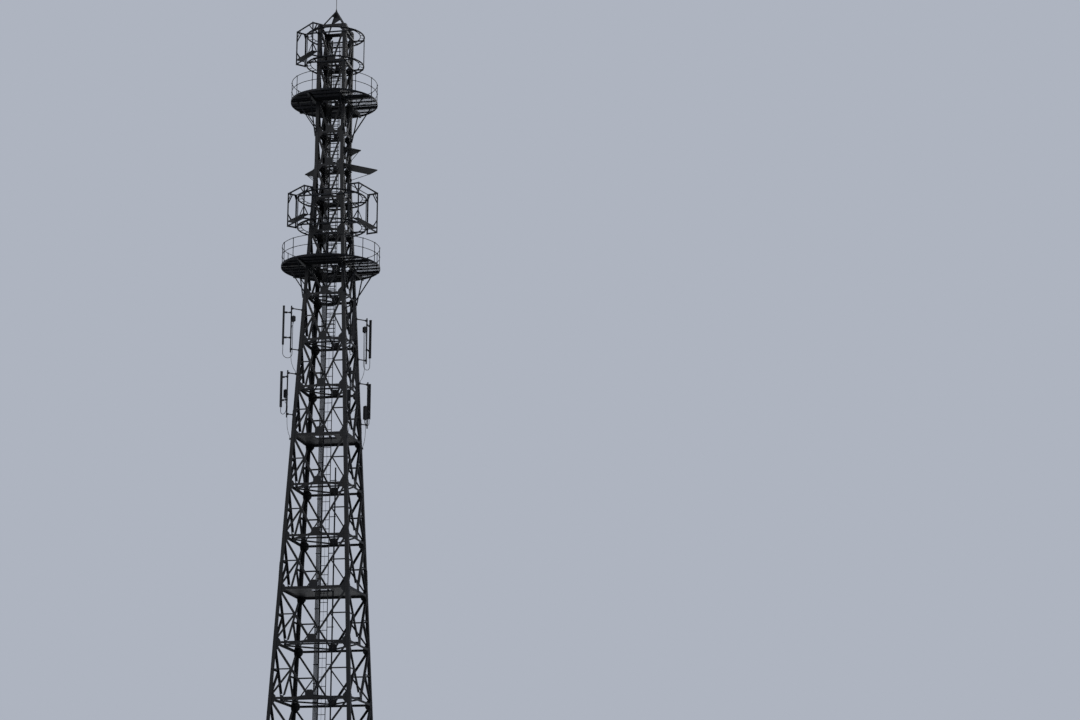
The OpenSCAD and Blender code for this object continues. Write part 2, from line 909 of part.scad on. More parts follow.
module pointed_arm(z, drop) {
    x0 = half_w(z - arm_bar / 2) + seat + arm_bar / 2;
    y0 = arm_base_share * half_w(z);
    tip = half_w(z) + arm_reach;
    side_arm(z, [[x0, -y0], [tip, 0], [x0, y0]]);
    for (s = [-1, 1])
        arm_strut(tip - arm_bar, 0, z, drop, s);
}

module slanted_arm(z, drop) {
    x0 = half_w(z - arm_bar / 2) + seat + arm_bar / 2;
    y0 = -half_w(z) + arm_bar / 2;
    far = [x0 + slant_reach / sqrt(2), y0 + slant_reach / sqrt(2)];
    near = [far[0] - slant_w / sqrt(2), far[1] + slant_w / sqrt(2)];
    side_arm(z, [[x0, y0], far, near, [x0, near[1] - near[0] + x0]]);
    arm_strut(near[0], near[1], z, drop, 1);
}

module side_arms() {
    color(steel) {
        pointed_arm(right_arm_z, right_arm_drop);
        rotate([0, 0, 180]) pointed_arm(left_arm_z, left_arm_drop);
        slanted_arm(slant_arm_z, slant_arm_drop);
    }
}

// Antennas: a pole on two arms at a leg's corner, a panel in front of it and a radio unit on it.
// Each row is [height of the pole tops, height of a panel, standoff, drop of the jumper below the panel].

antenna_rows = [
    [upper_pole_top, upper_panel_h, upper_standoff, 250],
    [lower_pole_top, lower_panel_h, lower_standoff, 110]
];

// Each antenna is [quarter turn of its leg, row, turn of the panel from the leg's diagonal,
// turn of the radio unit, height of the unit, distance from the pole's top to the unit's middle].
antennas = [
    [2, 0, -28, 180, 150, 350], [0, 0, 32, 180, 160, 330], [3, 0, 0, 180, 150, 340],
    [2, 1, -66, 25, 220, 660], [0, 1, 46, 180, 380, 870], [3, 1, 25, 180, 300, 755]
];
arm_from_top = 65;
arm_from_foot = 90;
clamp_w = 50;
bracket_h = 46;
bracket_w = 40;
bracket_link_h = 30;
bracket_link_w = 14;
bracket_stub = 69;
bracket_share = 0.33;
half_clear = 2;
jumper_side = 30;
// The straight runs of a jumper are sleeved: thickness of the sleeve, and how far it reaches over the turn
sleeve_t = 1.5;
sleeve_h = 10;
radio_gap = 14;

function pole_top(a) = antenna_rows[a[1]][0];
function panel_h(a) = antenna_rows[a[1]][1];
function pole_x(a) = half_w(pole_top(a) - pole_h / 2) * sqrt(2) + antenna_rows[a[1]][2];
function panel_mid(a) = pole_top(a) - panel_h(a) / 2;
function radio_mid(a) = pole_top(a) - a[5];

// Puts a piece at an antenna's pole, +X at this turn from the leg's diagonal and Z from the ground
module at_pole(a, turn) {
    rotate([0, 0, 90 * a[0] + 45])
        translate([pole_x(a), 0, 0])
            rotate([0, 0, turn])
                children();
}

module rounded_box(d, w, r) {
    translate([r, 0]) square([d - 2 * r, w]);
    translate([0, r]) square([d, w - 2 * r]);
    for (x = [r, d - r], y = [r, w - r])
        translate([x, y]) circle(r = r, $fn = 32);
}

// A bar of this size along X from x, centred on the X axis at height z
module bar_at(x, z, length, w, h) {
    translate([x, -w / 2, z - h / 2]) cube([length, w, h]);
}

// A bracket from the pole to the panel's back: half a clamp, a link and a stub
module panel_bracket(z) {
    back = panel_out - panel_d / 2;
    difference() {
        union() {
            bar_at(half_clear, z, clamp_w, bracket_w, bracket_h);
            bar_at(clamp_w, z, back - clamp_w, bracket_link_w, bracket_link_h);
            bar_at(back - bracket_stub, z, bracket_stub + half_clear, bracket_w, bracket_h);
        }
        tube_at([0, 0, z - bracket_h], pole_r + seat, 2 * bracket_h);
    }
}

module antenna_panels() {
    color(radome)
        for (a = antennas)
            at_pole(a, a[2]) {
                translate([panel_out - panel_d / 2, -panel_w / 2, pole_top(a) - panel_h(a)])
                    linear_extrude(panel_h(a)) rounded_box(panel_d, panel_w, panel_round);
                for (s = [-1, 1])
                    panel_bracket(panel_mid(a) + s * bracket_share * panel_h(a));
            }
}

module antenna_poles() {
    color(steel)
        for (a = antennas)
            at_pole(a, 0)
                tube_at([0, 0, pole_top(a) - pole_h], pole_r, pole_h);
}

// One arm at height z, from a saddle on the leg to a clamp on the pole
module antenna_arm(a, z) {
    corner = (saddle_corner(z) + saddle_t) * sqrt(2) - saddle_t;
    end = pole_x(a);
    saddle(z);
    rotate([0, 0, 45])
        difference() {
            union() {
                bar_at(corner, z, end - corner - half_clear, arm_bar, arm_bar);
                bar_at(end - clamp_w, z, clamp_w - half_clear, clamp_w, clamp_w);
            }
            tube_at([end, 0, z - clamp_w], pole_r + seat, 2 * clamp_w);
        }
}

module antenna_arms() {
    color(steel)
        for (a = antennas)
            rotate([0, 0, 90 * a[0]]) {
                antenna_arm(a, pole_top(a) - pole_h + arm_from_foot);
                antenna_arm(a, pole_top(a) - arm_from_top);
            }
}

module radio_units() {
    back = pole_r + radio_gap;
    color(radome)
        for (a = antennas)
            at_pole(a, a[3])
                difference() {
                    union() {
                        bar_at(back, radio_mid(a), radio_d, radio_w, a[4]);
                        bar_at(half_clear, radio_mid(a), back, bracket_w, bracket_h);
                    }
                    tube_at([0, 0, radio_mid(a) - bracket_h], pole_r + seat, 2 * bracket_h);
                }
}

// A jumper leaves the panel's underside, turns below it and rises to the radio unit
module jumper(a) {
    unit_x = pole_r + radio_gap + radio_d / 2;
    side = a[2] < 0 ? jumper_side : -jumper_side;
    panel = panel_out * [cos(a[2]), sin(a[2])];
    unit = unit_x * [cos(a[3]), sin(a[3])] + side * [-sin(a[3]), cos(a[3])];
    d = unit - panel;
    turn_r = norm(d) / 2;
    drop = antenna_rows[a[1]][3];
    turn_z = pole_top(a) - panel_h(a) - drop;
    rise = radio_mid(a) - a[4] / 2 - turn_z;
    at_pole(a, 0)
        translate([(panel[0] + unit[0]) / 2, (panel[1] + unit[1]) / 2, turn_z])
            rotate([0, 0, atan2(d[1], d[0])]) {
                tube_at([-turn_r, 0, -sleeve_h], jumper_r + sleeve_t, drop - seat + sleeve_h);
                rotate([-90, 0, 0])
                    rotate_extrude(angle = 180, $fn = 32)
                        translate([turn_r, 0]) circle(r = jumper_r, $fn = 24);
                tube_at([turn_r, 0, -sleeve_h], jumper_r + sleeve_t, rise - seat + sleeve_h);
            }
}

module jumper_cables() {
    color(rubber)
        for (a = antennas)
            jumper(a);
}

base_plates();
leg(2);  // leg_front_left
leg(3);  // leg_front_right
leg(0);  // leg_back_right
leg(1);  // leg_back_left
face(0, leaning_levels, true);  // face_front_lower
face(1, leaning_levels, true);  // face_right_lower
face(2, leaning_levels, true);  // face_back_lower
face(3, leaning_levels, true);  // face_left_lower
face(0, upright_levels, false);  // face_front_upper
face(1, upright_levels, false);  // face_right_upper
face(2, upright_levels, false);  // face_back_upper
face(3, upright_levels, false);  // face_left_upper
plan_bracing();
landings();
ladder();
ladder_beams();
feeder_cables();
power_conduit();
platform_frame(lower_deck_z, lower_deck_r);  // lower_platform_frame
platform_deck(lower_deck_z, lower_deck_r);  // lower_platform_deck
handrail(lower_deck_z, lower_deck_r, lower_posts);  // lower_handrail
knee_braces(lower_deck_z, lower_deck_r, neck_h);  // lower_knee_braces
platform_frame(upper_deck_z, upper_deck_r);  // upper_platform_frame
platform_deck(upper_deck_z, upper_deck_r);  // upper_platform_deck
handrail(upper_deck_z, upper_deck_r, upper_posts);  // upper_handrail
knee_braces(upper_deck_z, upper_deck_r, mid_panel_h);  // upper_knee_braces
ring_mount(mid_ring_z, mid_ring_gap, mid_ring_r);  // middle_ring_mount
sector_frame(sector_turn, mid_ring_z, mid_ring_gap, mid_ring_r, tall_sector_w, tall_extra);  // sector_frame_right
sector_frame(sector_turn - 120, mid_ring_z, mid_ring_gap, mid_ring_r, sector_w, 0);  // sector_frame_left
sector_frame(sector_turn + 120, mid_ring_z, mid_ring_gap, mid_ring_r, sector_w, 0);  // sector_frame_back
ring_mount(shaft_h - top_ring_drop, top_ring_gap, top_ring_r);  // top_ring_mount
sector_frame(sector_turn - 120, shaft_h - top_ring_drop, top_ring_gap, top_ring_r, sector_w, 0);  // sector_frame_top
cap_pyramid();
lightning_rod();
side_arms();
antenna_panels();
antenna_poles();
antenna_arms();
radio_units();
jumper_cables();
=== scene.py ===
"""A lattice cell tower, 1:2: finishes, gratings, bolts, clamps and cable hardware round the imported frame."""

import json
import math

import bmesh
import bpy
from mathutils import Matrix, Vector


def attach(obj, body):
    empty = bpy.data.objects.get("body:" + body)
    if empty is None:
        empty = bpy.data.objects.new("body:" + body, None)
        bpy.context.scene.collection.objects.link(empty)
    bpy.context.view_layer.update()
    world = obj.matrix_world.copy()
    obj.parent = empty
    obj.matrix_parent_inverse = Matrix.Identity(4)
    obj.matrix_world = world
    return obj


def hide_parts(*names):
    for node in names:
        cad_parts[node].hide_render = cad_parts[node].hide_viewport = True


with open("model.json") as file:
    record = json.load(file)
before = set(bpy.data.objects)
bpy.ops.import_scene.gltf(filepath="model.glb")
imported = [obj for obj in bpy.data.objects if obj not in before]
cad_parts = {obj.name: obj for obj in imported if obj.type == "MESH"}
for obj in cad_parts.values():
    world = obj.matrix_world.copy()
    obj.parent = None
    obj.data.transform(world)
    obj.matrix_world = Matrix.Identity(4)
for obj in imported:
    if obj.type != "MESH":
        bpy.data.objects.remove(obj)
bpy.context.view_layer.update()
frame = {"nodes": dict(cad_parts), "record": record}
NODES = frame["nodes"]

# ---------- sizes in metres, the same as in the part's source

# The shaft: width over the legs at the ground and at the top, its height, and the two platforms
BASE_W, TOP_W, SHAFT_H = 2.980, 0.830, 27.050
LOWER_DECK_Z, LOWER_DECK_R = 20.025, 1.375
UPPER_DECK_Z, UPPER_DECK_R = 24.850, 1.225
DECK_T, BEAM_H = 0.014, 0.075
# The levels of its horizontals, in panels that grow towards the ground
LOW_PANELS, MID_PANELS, TOP_PANELS = 13, 5, 2
NECK_Z, FIRST_Z, GROWTH = LOWER_DECK_Z - 0.875, 0.300, 0.024
LOW_PANEL = (NECK_Z - FIRST_Z) / LOW_PANELS - GROWTH * (LOW_PANELS - 1) / 2
MID_PANEL = (UPPER_DECK_Z - LOWER_DECK_Z) / MID_PANELS
TOP_PANEL = (SHAFT_H - UPPER_DECK_Z) / TOP_PANELS
KINK_Z = LOWER_DECK_Z + 3 * MID_PANEL
LEAN = (BASE_W - TOP_W) / 2 / KINK_Z
LEVELS = ([NECK_Z - i * LOW_PANEL - GROWTH * i * (i - 1) / 2 for i in range(LOW_PANELS, -1, -1)]
          + [LOWER_DECK_Z + i * MID_PANEL for i in range(MID_PANELS + 1)]
          + [UPPER_DECK_Z + i * TOP_PANEL for i in range(1, TOP_PANELS + 1)])
LANDING_LEVELS = (LOW_PANELS - 3, LOW_PANELS - 6)
# Widths and thicknesses of its angles, and the gap between pieces that rest on each other
LEG_W, LEG_T, BAR_W, DIAGONAL_W, BRACE_T, SEAT = 0.100, 0.010, 0.062, 0.056, 0.006, 0.0003
MID_GUSSET_W, PLAN_W, PLAN_CLEAR, KNEE_W = 0.230, 0.046, 0.001, 0.028
KNEE_STAGGER = 4.3 * KNEE_W
# The ladder with its beams, the landings, and the cables beside it
LADDER_W, LADDER_Y, STILE_D, LADDER_FOOT, LADDER_TOP = 0.220, 0.080, 0.036, 0.040, SHAFT_H - 0.300
RUNG_GAP, RUNG_R, LADDER_BEAM_W, LANDING_T = 0.250, 0.009, 0.040, 0.012
FEEDER_R, CABLE_GAP, FEEDERS = 0.014, 0.006, 4
CONDUIT_X, CONDUIT_R, CONDUIT_TOP = 0.250, 0.020, 14.350
# Handrails: how far the posts stand in from the platform's edge, and the heights of the two rails
POST_INSET, RAIL_H, MID_RAIL_H = 0.026, 0.550, 0.285
# Rings as (height, radius), their pipe and the bars that carry them
RINGS = ((22.000, 0.950), (21.150, 0.950), (26.825, 0.805), (25.950, 0.805))
RING_PIPE_R, RING_BAR_W, RING_BAR_H = 0.022, 0.018, 0.040
# Sector frames as (turn, height of the ring, gap to the ring below, the ring's radius, width, extra height)
SECTOR_TURN = -14
SECTOR_FRAMES = ((SECTOR_TURN, 22.0, 0.85, 0.95, 1.07, 0.1),
                 (SECTOR_TURN - 120, 22.0, 0.85, 0.95, 0.9, 0),
                 (SECTOR_TURN + 120, 22.0, 0.85, 0.95, 0.9, 0),
                 (SECTOR_TURN - 120, 26.825, 0.875, 0.805, 0.9, 0))
FRAME_PIPE_R, FRAME_OVER, FRAME_UNDER, FRAME_FLOOR, FRAME_OUT = 0.015, 0.075, 0.035, 0.140, 0.200
# Poles, panels, radio units and jumper cables
POLE_R, POLE_H, PANEL_W, PANEL_D, PANEL_OUT = 0.019, 1.300, 0.070, 0.058, 0.210
RADIO_D, RADIO_GAP, JUMPER_R = 0.070, 0.014, 0.008
# Rows of antennas as (height of the tops, panel's height, pole's distance from the leg, drop of the jumper)
ROWS = ((18.720, 1.075, 0.277, 0.250), (16.895, 0.975, 0.222, 0.110))
# Antennas as (leg, row, panel's turn, unit's turn, unit's height, depth of the unit's middle below the top)
ANTENNAS = ((2, 0, -28, 180, 0.150, 0.350), (0, 0, 32, 180, 0.160, 0.330), (3, 0, 0, 180, 0.150, 0.340),
            (2, 1, -66, 25, 0.220, 0.660), (0, 1, 46, 180, 0.380, 0.870), (3, 1, 25, 180, 0.300, 0.755))
# The saddles that hold an antenna's arms to the leg, and how far the arms are from the pole's ends
SADDLE_T, SADDLE_H, ARM_BELOW, ARM_ABOVE = 0.008, 0.060, 0.065, 0.090


def half_w(z):
    """Half the shaft's width over the legs at a height."""
    return BASE_W / 2 - z * LEAN if z < KINK_Z else TOP_W / 2


def turned(degrees, axis="Z"):
    return Matrix.Rotation(math.radians(degrees), 4, axis)


def moved(x, y, z):
    return Matrix.Translation((x, y, z))


def arc(start, step, n):
    """Angles in radians, from ones in degrees."""
    return [math.radians(start + step * k) for k in range(n)]


def circle(r, corners):
    """Corners round a circle in the XY plane."""
    turns = [2 * math.pi * k / corners for k in range(corners)]
    return [(r * math.cos(t), r * math.sin(t)) for t in turns]


# ---------- camera, floor and light

# The camera stands far away at eye height and looks up with a long lens.
CAM_DISTANCE = 66.35        # from the tower's axis, m
CAM_HEIGHT = 0.75
CAM_AZIMUTH = 16.41         # degrees round from the tower's front towards its right
CAM_SWING = 5.025           # degrees by which the tower stands left of the picture's middle
CAM_PITCH = 14.115
CAM_ROLL = 0.062
FOCAL_PIXELS = 2479.1       # on a picture 1080 px wide
PICTURE_WIDTH = 1080
SENSOR_MM = 36.0

FLOOR_R = 170
# Lamps as (name, azimuth, elevation, width in metres, power in watts), round a point half-way up the tower
LAMPS = (("key", -35, 38, 40, 22000), ("fill", 60, 25, 50, 9000), ("back", 170, 45, 45, 12000))
LAMP_DISTANCE, LAMP_MIDDLE, LAMP_AIM = 60, Vector((0, 0, 12)), Vector((0, 0, 14))


def add_camera():
    azimuth = math.radians(CAM_AZIMUTH)
    heading = math.radians(90 + CAM_AZIMUTH - CAM_SWING)
    pitch = math.radians(CAM_PITCH)
    eye = Vector((CAM_DISTANCE * math.sin(azimuth), -CAM_DISTANCE * math.cos(azimuth), CAM_HEIGHT))
    look = Vector((math.cos(heading) * math.cos(pitch), math.sin(heading) * math.cos(pitch), math.sin(pitch)))
    data = bpy.data.cameras.new("camera")
    data.sensor_width = SENSOR_MM
    data.lens = FOCAL_PIXELS / PICTURE_WIDTH * SENSOR_MM
    data.clip_end = 400
    camera = bpy.data.objects.new("camera", data)
    aim = look.to_track_quat("-Z", "Y").to_matrix().to_4x4()
    camera.matrix_world = Matrix.Translation(eye) @ aim @ turned(CAM_ROLL)
    bpy.context.scene.collection.objects.link(camera)
    bpy.context.scene.camera = camera


def srgb(code):
    """An sRGB hex value as linear red, green, blue and alpha."""
    parts = [int(code[i:i + 2], 16) / 255 for i in (1, 3, 5)]
    return [c / 12.92 if c <= 0.04045 else ((c + 0.055) / 1.055) ** 2.4 for c in parts] + [1.0]


def add_node(tree, kind, links=(), **settings):
    """Adds a node, sets its properties and sockets by name, and links {socket: output} pairs into it.

    A node in such a pair stands for its first output.
    """
    node = tree.nodes.new(kind)
    for name, value in settings.items():
        if hasattr(node, name) and name not in node.inputs:
            setattr(node, name, value)
        else:
            node.inputs[int(name[1:]) if name[1:].isdigit() else name.replace("_", " ")].default_value = value
    for socket, output in dict(links).items():
        tree.links.new(output.outputs[0] if isinstance(output, bpy.types.Node) else output, node.inputs[socket])
    return node


def new_material(name):
    material = bpy.data.materials.new(name)
    material.use_nodes = True
    tree = material.node_tree
    tree.nodes.clear()
    return material, tree


def build_stage():
    """A round pale floor, a pale sky behind it, and soft lights from all round."""
    material, tree = new_material("pale_floor_paint")
    shader = add_node(tree, "ShaderNodeBsdfPrincipled", Base_Color=srgb("#C9CCD0"), Roughness=0.9)
    add_node(tree, "ShaderNodeOutputMaterial", {"Surface": shader})
    mesh = bpy.data.meshes.new("floor")
    ring = [(x, y, 0) for x, y in circle(FLOOR_R, 96)]
    mesh.from_pydata(ring, [], [list(range(len(ring)))])
    mesh.materials.append(material)
    floor = bpy.data.objects.new("floor", mesh)
    bpy.context.scene.collection.objects.link(floor)

    world = bpy.data.worlds.new("studio")
    bpy.context.scene.world = world
    world.use_nodes = True
    tree = world.node_tree
    tree.nodes.clear()
    path = add_node(tree, "ShaderNodeLightPath")
    seen = add_node(tree, "ShaderNodeMath", {
        0: path.outputs["Is Camera Ray"], 1: path.outputs["Is Glossy Ray"]}, operation="MAXIMUM")
    shown = add_node(tree, "ShaderNodeMath", {0: seen, 1: path.outputs["Is Transmission Ray"]},
                     operation="MAXIMUM")
    soft = add_node(tree, "ShaderNodeBackground", Color=srgb("#FFFFFF"), Strength=0.55)
    sky = add_node(tree, "ShaderNodeBackground", Color=srgb("#AEB4C0"), Strength=1.0)
    mix = add_node(tree, "ShaderNodeMixShader", {0: shown, 1: soft, 2: sky})
    add_node(tree, "ShaderNodeOutputWorld", {"Surface": mix})

    for name, azimuth, elevation, width, power in LAMPS:
        data = bpy.data.lights.new(name, "AREA")
        data.shape = "DISK"
        data.size = width
        data.energy = power
        lamp = bpy.data.objects.new(name, data)
        a, e = math.radians(azimuth), math.radians(elevation)
        away = Vector((math.sin(a) * math.cos(e), -math.cos(a) * math.cos(e), math.sin(e)))
        spot = away * LAMP_DISTANCE + LAMP_MIDDLE
        aim = (LAMP_AIM - spot).to_track_quat("-Z", "Y").to_matrix().to_4x4()
        lamp.matrix_world = Matrix.Translation(spot) @ aim
        bpy.context.scene.collection.objects.link(lamp)


add_camera()
build_stage()
bpy.context.scene.view_settings.view_transform = "Standard"


# ---------- materials

def coated(name, colour, second, stain, metallic=0.0, rough=0.55, patch_mm=140, grain_mm=7, bump_mm=0.5,
           stain_share=0.4, run_mm=45, chequer_mm=0.0, sheen=0.1):
    """A coated or galvanised surface: two tones in soft patches, stains that run down it, and a fine grain.

    The grain of real paint and zinc is finer, and is drawn as coarse as it needs to show in a close view.
    """
    material, tree = new_material(name)
    place = add_node(tree, "ShaderNodeTexCoord").outputs["Object"]
    patches = add_node(tree, "ShaderNodeTexNoise", {"Vector": place}, Scale=1000 / patch_mm, Detail=4.0,
                       Roughness=0.6)
    grain = add_node(tree, "ShaderNodeTexNoise", {"Vector": place}, Scale=1000 / grain_mm, Detail=3.0)
    # Runs are drawn out along the height
    drawn = add_node(tree, "ShaderNodeMapping", {"Vector": place}, Scale=(1.0, 1.0, 0.12))
    runs = add_node(tree, "ShaderNodeTexNoise", {"Vector": drawn}, Scale=1000 / run_mm, Detail=6.0,
                    Roughness=0.65)
    tone = add_node(tree, "ShaderNodeMix", {0: patches}, data_type="RGBA", _6=srgb(colour), _7=srgb(second))
    # Only the highest parts of the drawn-out noise are stained
    edge = add_node(tree, "ShaderNodeMapRange", {0: runs}, _1=0.56, _2=0.72, _3=0.0, _4=stain_share)
    mixed = add_node(tree, "ShaderNodeMix", {0: edge, 6: tone.outputs[2]}, data_type="RGBA", _7=srgb(stain))
    gloss = add_node(tree, "ShaderNodeMapRange", {0: grain}, _1=0.3, _2=0.7, _3=rough - 0.08, _4=rough + 0.1)
    relief = grain
    if chequer_mm:
        # Raised lozenges of chequer plate, as two crossing waves
        waves = [add_node(tree, "ShaderNodeTexWave", {"Vector": place}, bands_direction=axis,
                          Scale=314 / chequer_mm) for axis in ("X", "Y")]
        relief = add_node(tree, "ShaderNodeMath", {0: waves[0].outputs[1], 1: waves[1].outputs[1]},
                          operation="MULTIPLY")
    bump = add_node(tree, "ShaderNodeBump", {"Height": relief}, Strength=0.35, Distance=bump_mm / 1000)
    shader = add_node(tree, "ShaderNodeBsdfPrincipled", {
        "Base Color": mixed.outputs[2], "Roughness": gloss, "Normal": bump},
        Metallic=metallic, Specular_IOR_Level=0.5 if metallic else sheen)
    add_node(tree, "ShaderNodeOutputMaterial", {"Surface": shader})
    return material


# Painted shade: every tone in this table but the cables' black jacket is written close to black, darker than
# the steel, paint and mouldings are, to stand in for the shade of a tower lit from behind
FINISH = {
    # Brushed-on paint over galvanised angles: a dull dark paint darkened to near-black by painted shade, paler
    # in patches, with thin rust runs
    "painted": coated("brushed_dark_paint_with_painted_shade", "#0E0F12", "#16171A", "#2C231D"),
    "bracing": coated("brushed_bracing_paint", "#0C0D10", "#141518", "#2C231D"),
    # Hot-rolled chequer plate, dipped: near-black as painted shade, with raised lozenges that boots keep clean
    "landing_plate": coated("dipped_chequer_plate", "#141518", "#1D1E22", "#2A231E", metallic=1.0,
                            chequer_mm=26, bump_mm=1.5),
    # Thick dipped plate near the ground: greyer, with dust and rust at the bolts
    "base_steel": coated("dipped_base_plate", "#1F2024", "#2C2D31", "#443930", metallic=1.0, patch_mm=60),
    # Dipped flat and rod, rubbed smoother by boots and gloves
    "ladder_steel": coated("dipped_ladder_steel", "#17181B", "#202125", "#2F2721", metallic=1.0, rough=0.48,
                           patch_mm=70),
    # Extruded polyethylene: even, faintly glossy, with dust in streaks
    "cable_jacket": coated("extruded_cable_jacket", "#0A0B0C", "#0F1012", "#151517", rough=0.45, bump_mm=0.2,
                           sheen=0.25),
    # Dipped tube: smooth and even, streaked along its length
    "conduit_steel": coated("dipped_conduit", "#151619", "#1D1F22", "#2F2721", metallic=1.0),
    # Dipped channels and beams of the platforms: near-black as painted shade, streaked where water drips
    # through the grating
    "platform_steel": coated("dipped_channel_steel", "#101114", "#18191C", "#2A221D", metallic=1.0,
                             stain_share=0.55),
    # Pressed bar grating, dipped and dulled: small patches, since each bar weathers by itself
    "grating": coated("dipped_bar_grating", "#101114", "#18191C", "#2A221D", metallic=1.0, patch_mm=80),
    # Drawn tube, dipped: smooth and slightly brighter than the beams
    "handrail_steel": coated("dipped_handrail_tube", "#15161A", "#1E1F23", "#2C241E", metallic=1.0, rough=0.5),
    "pipe_steel": coated("dipped_pipe", "#131417", "#1B1D20", "#2C241E", metallic=1.0, rough=0.5),
    # Brushed-on paint on flat bar and plate
    "cap_steel": coated("brushed_cap_paint", "#0E0F12", "#16171A", "#2C241E"),
    # Drawn rod gone brown and dull
    "rod_steel": coated("weathered_drawn_rod", "#24211E", "#2F2B27", "#37403A", metallic=1.0, rough=0.45,
                        patch_mm=40),
    # Moulded glass fibre: matt and even, with dirt runs; its near-black tone is painted shade
    "radome": coated("moulded_radome", "#131417", "#191A1E", "#0C0D0F", rough=0.6, patch_mm=220, bump_mm=0.15),
    # Pressure-cast aluminium, powder-coated: a fine orange peel; its near-black tone is painted shade
    "radio_housing": coated("powder_coated_casting", "#131417", "#1A1B1F", "#0D0E10", rough=0.5, patch_mm=90,
                            grain_mm=3),
}
# Plated bolts and clamps, a little brighter than what they hold, and like it written near-black as painted
# shade
ZINC = coated("plated_fastener", "#222327", "#2D2F33", "#3A2E26", metallic=1.0, rough=0.45, patch_mm=30,
              grain_mm=2, bump_mm=0.1)

for row in frame["record"]["subparts"]:
    NODES[row["node"]].material_slots[0].material = FINISH[row["material_slot"]]


# ---------- making pieces

def piece(name, mesh, slot, material=None):
    """A finished mesh as an object that rides with the tower, in its slot's finish or another one."""
    if not mesh.materials:
        mesh.materials.append(material or FINISH[slot])
    mesh.name = name
    obj = bpy.data.objects.new(name, mesh)
    bpy.context.scene.collection.objects.link(obj)
    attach(obj, "root")
    return obj


class Shapes:
    """Gathers prisms and tubes into one mesh."""

    def __init__(self):
        self.points, self.faces = [], []

    def prism(self, outline, depth, place=Matrix()):
        """An outline in a place's XY plane, pushed along its Z."""
        n, at = len(outline), len(self.points)
        self.points += [place @ Vector((x, y, z)) for z in (0, depth) for x, y in outline]
        self.faces += [[at + i for i in range(n)][::-1], [at + n + i for i in range(n)]]
        self.faces += [[at + i, at + (i + 1) % n, at + n + (i + 1) % n, at + n + i] for i in range(n)]

    def bar(self, x0, x1, y0, y1, z0, z1, place=Matrix()):
        """A straight bar between two limits along each of a place's axes."""
        self.prism([(x0, y0), (x1, y0), (x1, y1), (x0, y1)], z1 - z0, place @ moved(0, 0, z0))

    def tube(self, path, radius, sides=10, closed=False):
        """A round tube along a path; an open one has flat ends."""
        path = [Vector(p) for p in path]
        n, at = len(path), len(self.points)
        side = None
        for i, p in enumerate(path):
            ahead = path[(i + 1) % n] if closed or i + 1 < n else p
            behind = path[i - 1] if closed or i else p
            along = (ahead - behind).normalized()
            if side is None:
                side = along.orthogonal().normalized()
            side = (side - along * side.dot(along)).normalized()
            other = along.cross(side)
            for k in range(sides):
                a = 2 * math.pi * k / sides
                self.points.append(p + (side * math.cos(a) + other * math.sin(a)) * radius)
        for i in range(n if closed else n - 1):
            here, there = at + i * sides, at + (i + 1) % n * sides
            for k in range(sides):
                m = (k + 1) % sides
                self.faces.append([here + k, here + m, there + m, there + k])
        if not closed:
            last = at + (n - 1) * sides
            self.faces += [[at + k for k in range(sides)][::-1], [last + k for k in range(sides)]]

    def finish(self, name, slot, material=None):
        """The gathered shapes as a piece, with all faces outwards."""
        mesh = bpy.data.meshes.new(name)
        mesh.from_pydata(self.points, [], self.faces)
        work = bmesh.new()
        work.from_mesh(mesh)
        bmesh.ops.recalc_face_normals(work, faces=work.faces)
        work.to_mesh(mesh)
        work.free()
        return piece(name, mesh, slot, material)


# ---------- trees that set copies on points

def new_tree(name, sizes):
    """An empty tree with a points input, one input for each size, a material and a mesh output."""
    tree = bpy.data.node_groups.new(name, "GeometryNodeTree")
    tree.interface.new_socket("Geometry", in_out="INPUT", socket_type="NodeSocketGeometry")
    for size, value in sizes.items():
        tree.interface.new_socket(size, in_out="INPUT", socket_type="NodeSocketFloat").default_value = value
    tree.interface.new_socket("Material", in_out="INPUT", socket_type="NodeSocketMaterial")
    tree.interface.new_socket("Geometry", in_out="OUTPUT", socket_type="NodeSocketGeometry")
    return tree, add_node(tree, "NodeGroupInput")


def set_copies(tree, given, shape):
    """Sets the shape on every point, turned and stretched by the point's own values."""
    turn = add_node(tree, "GeometryNodeInputNamedAttribute", data_type="FLOAT_VECTOR", Name="turn")
    stretch = add_node(tree, "GeometryNodeInputNamedAttribute", data_type="FLOAT_VECTOR", Name="stretch")
    copies = add_node(tree, "GeometryNodeInstanceOnPoints", {
        "Points": given.outputs["Geometry"], "Instance": shape, "Rotation": turn,
        "Scale": stretch})
    real = add_node(tree, "GeometryNodeRealizeInstances", {"Geometry": copies})
    coat = add_node(tree, "GeometryNodeSetMaterial", {"Geometry": real, "Material": given.outputs["Material"]})
    add_node(tree, "NodeGroupOutput", {"Geometry": coat})
    return tree


def bolt_tree():
    """A washer, a six-sided head on it and the bolt's round end, one above the other."""
    tree, given = new_tree("bolt", {"Washer Radius": 0.010, "Washer Height": 0.0015, "Head Radius": 0.0085,
                                    "Head Height": 0.0065, "Shank Radius": 0.005, "Shank Height": 0.004})
    joined = add_node(tree, "GeometryNodeJoinGeometry")
    parts = (("Shank", 8, ("Washer", "Head")), ("Head", 6, ("Washer",)), ("Washer", 10, ()))
    for part, corners, below in parts:
        height = given.outputs[part + " Height"]
        round_bar = add_node(tree, "GeometryNodeMeshCylinder", {
            "Radius": given.outputs[part + " Radius"], "Depth": height}, Vertices=corners)
        middle = add_node(tree, "ShaderNodeMath", {0: height}, operation="MULTIPLY", _1=0.5)
        for lower in below:
            middle = add_node(tree, "ShaderNodeMath", {
                0: middle, 1: given.outputs[lower + " Height"]}, operation="ADD")
        lift = add_node(tree, "ShaderNodeCombineXYZ", {"Z": middle})
        raised = add_node(tree, "GeometryNodeTransform", {"Geometry": round_bar, "Translation": lift})
        tree.links.new(raised.outputs[0], joined.inputs[0])
    return set_copies(tree, given, joined)


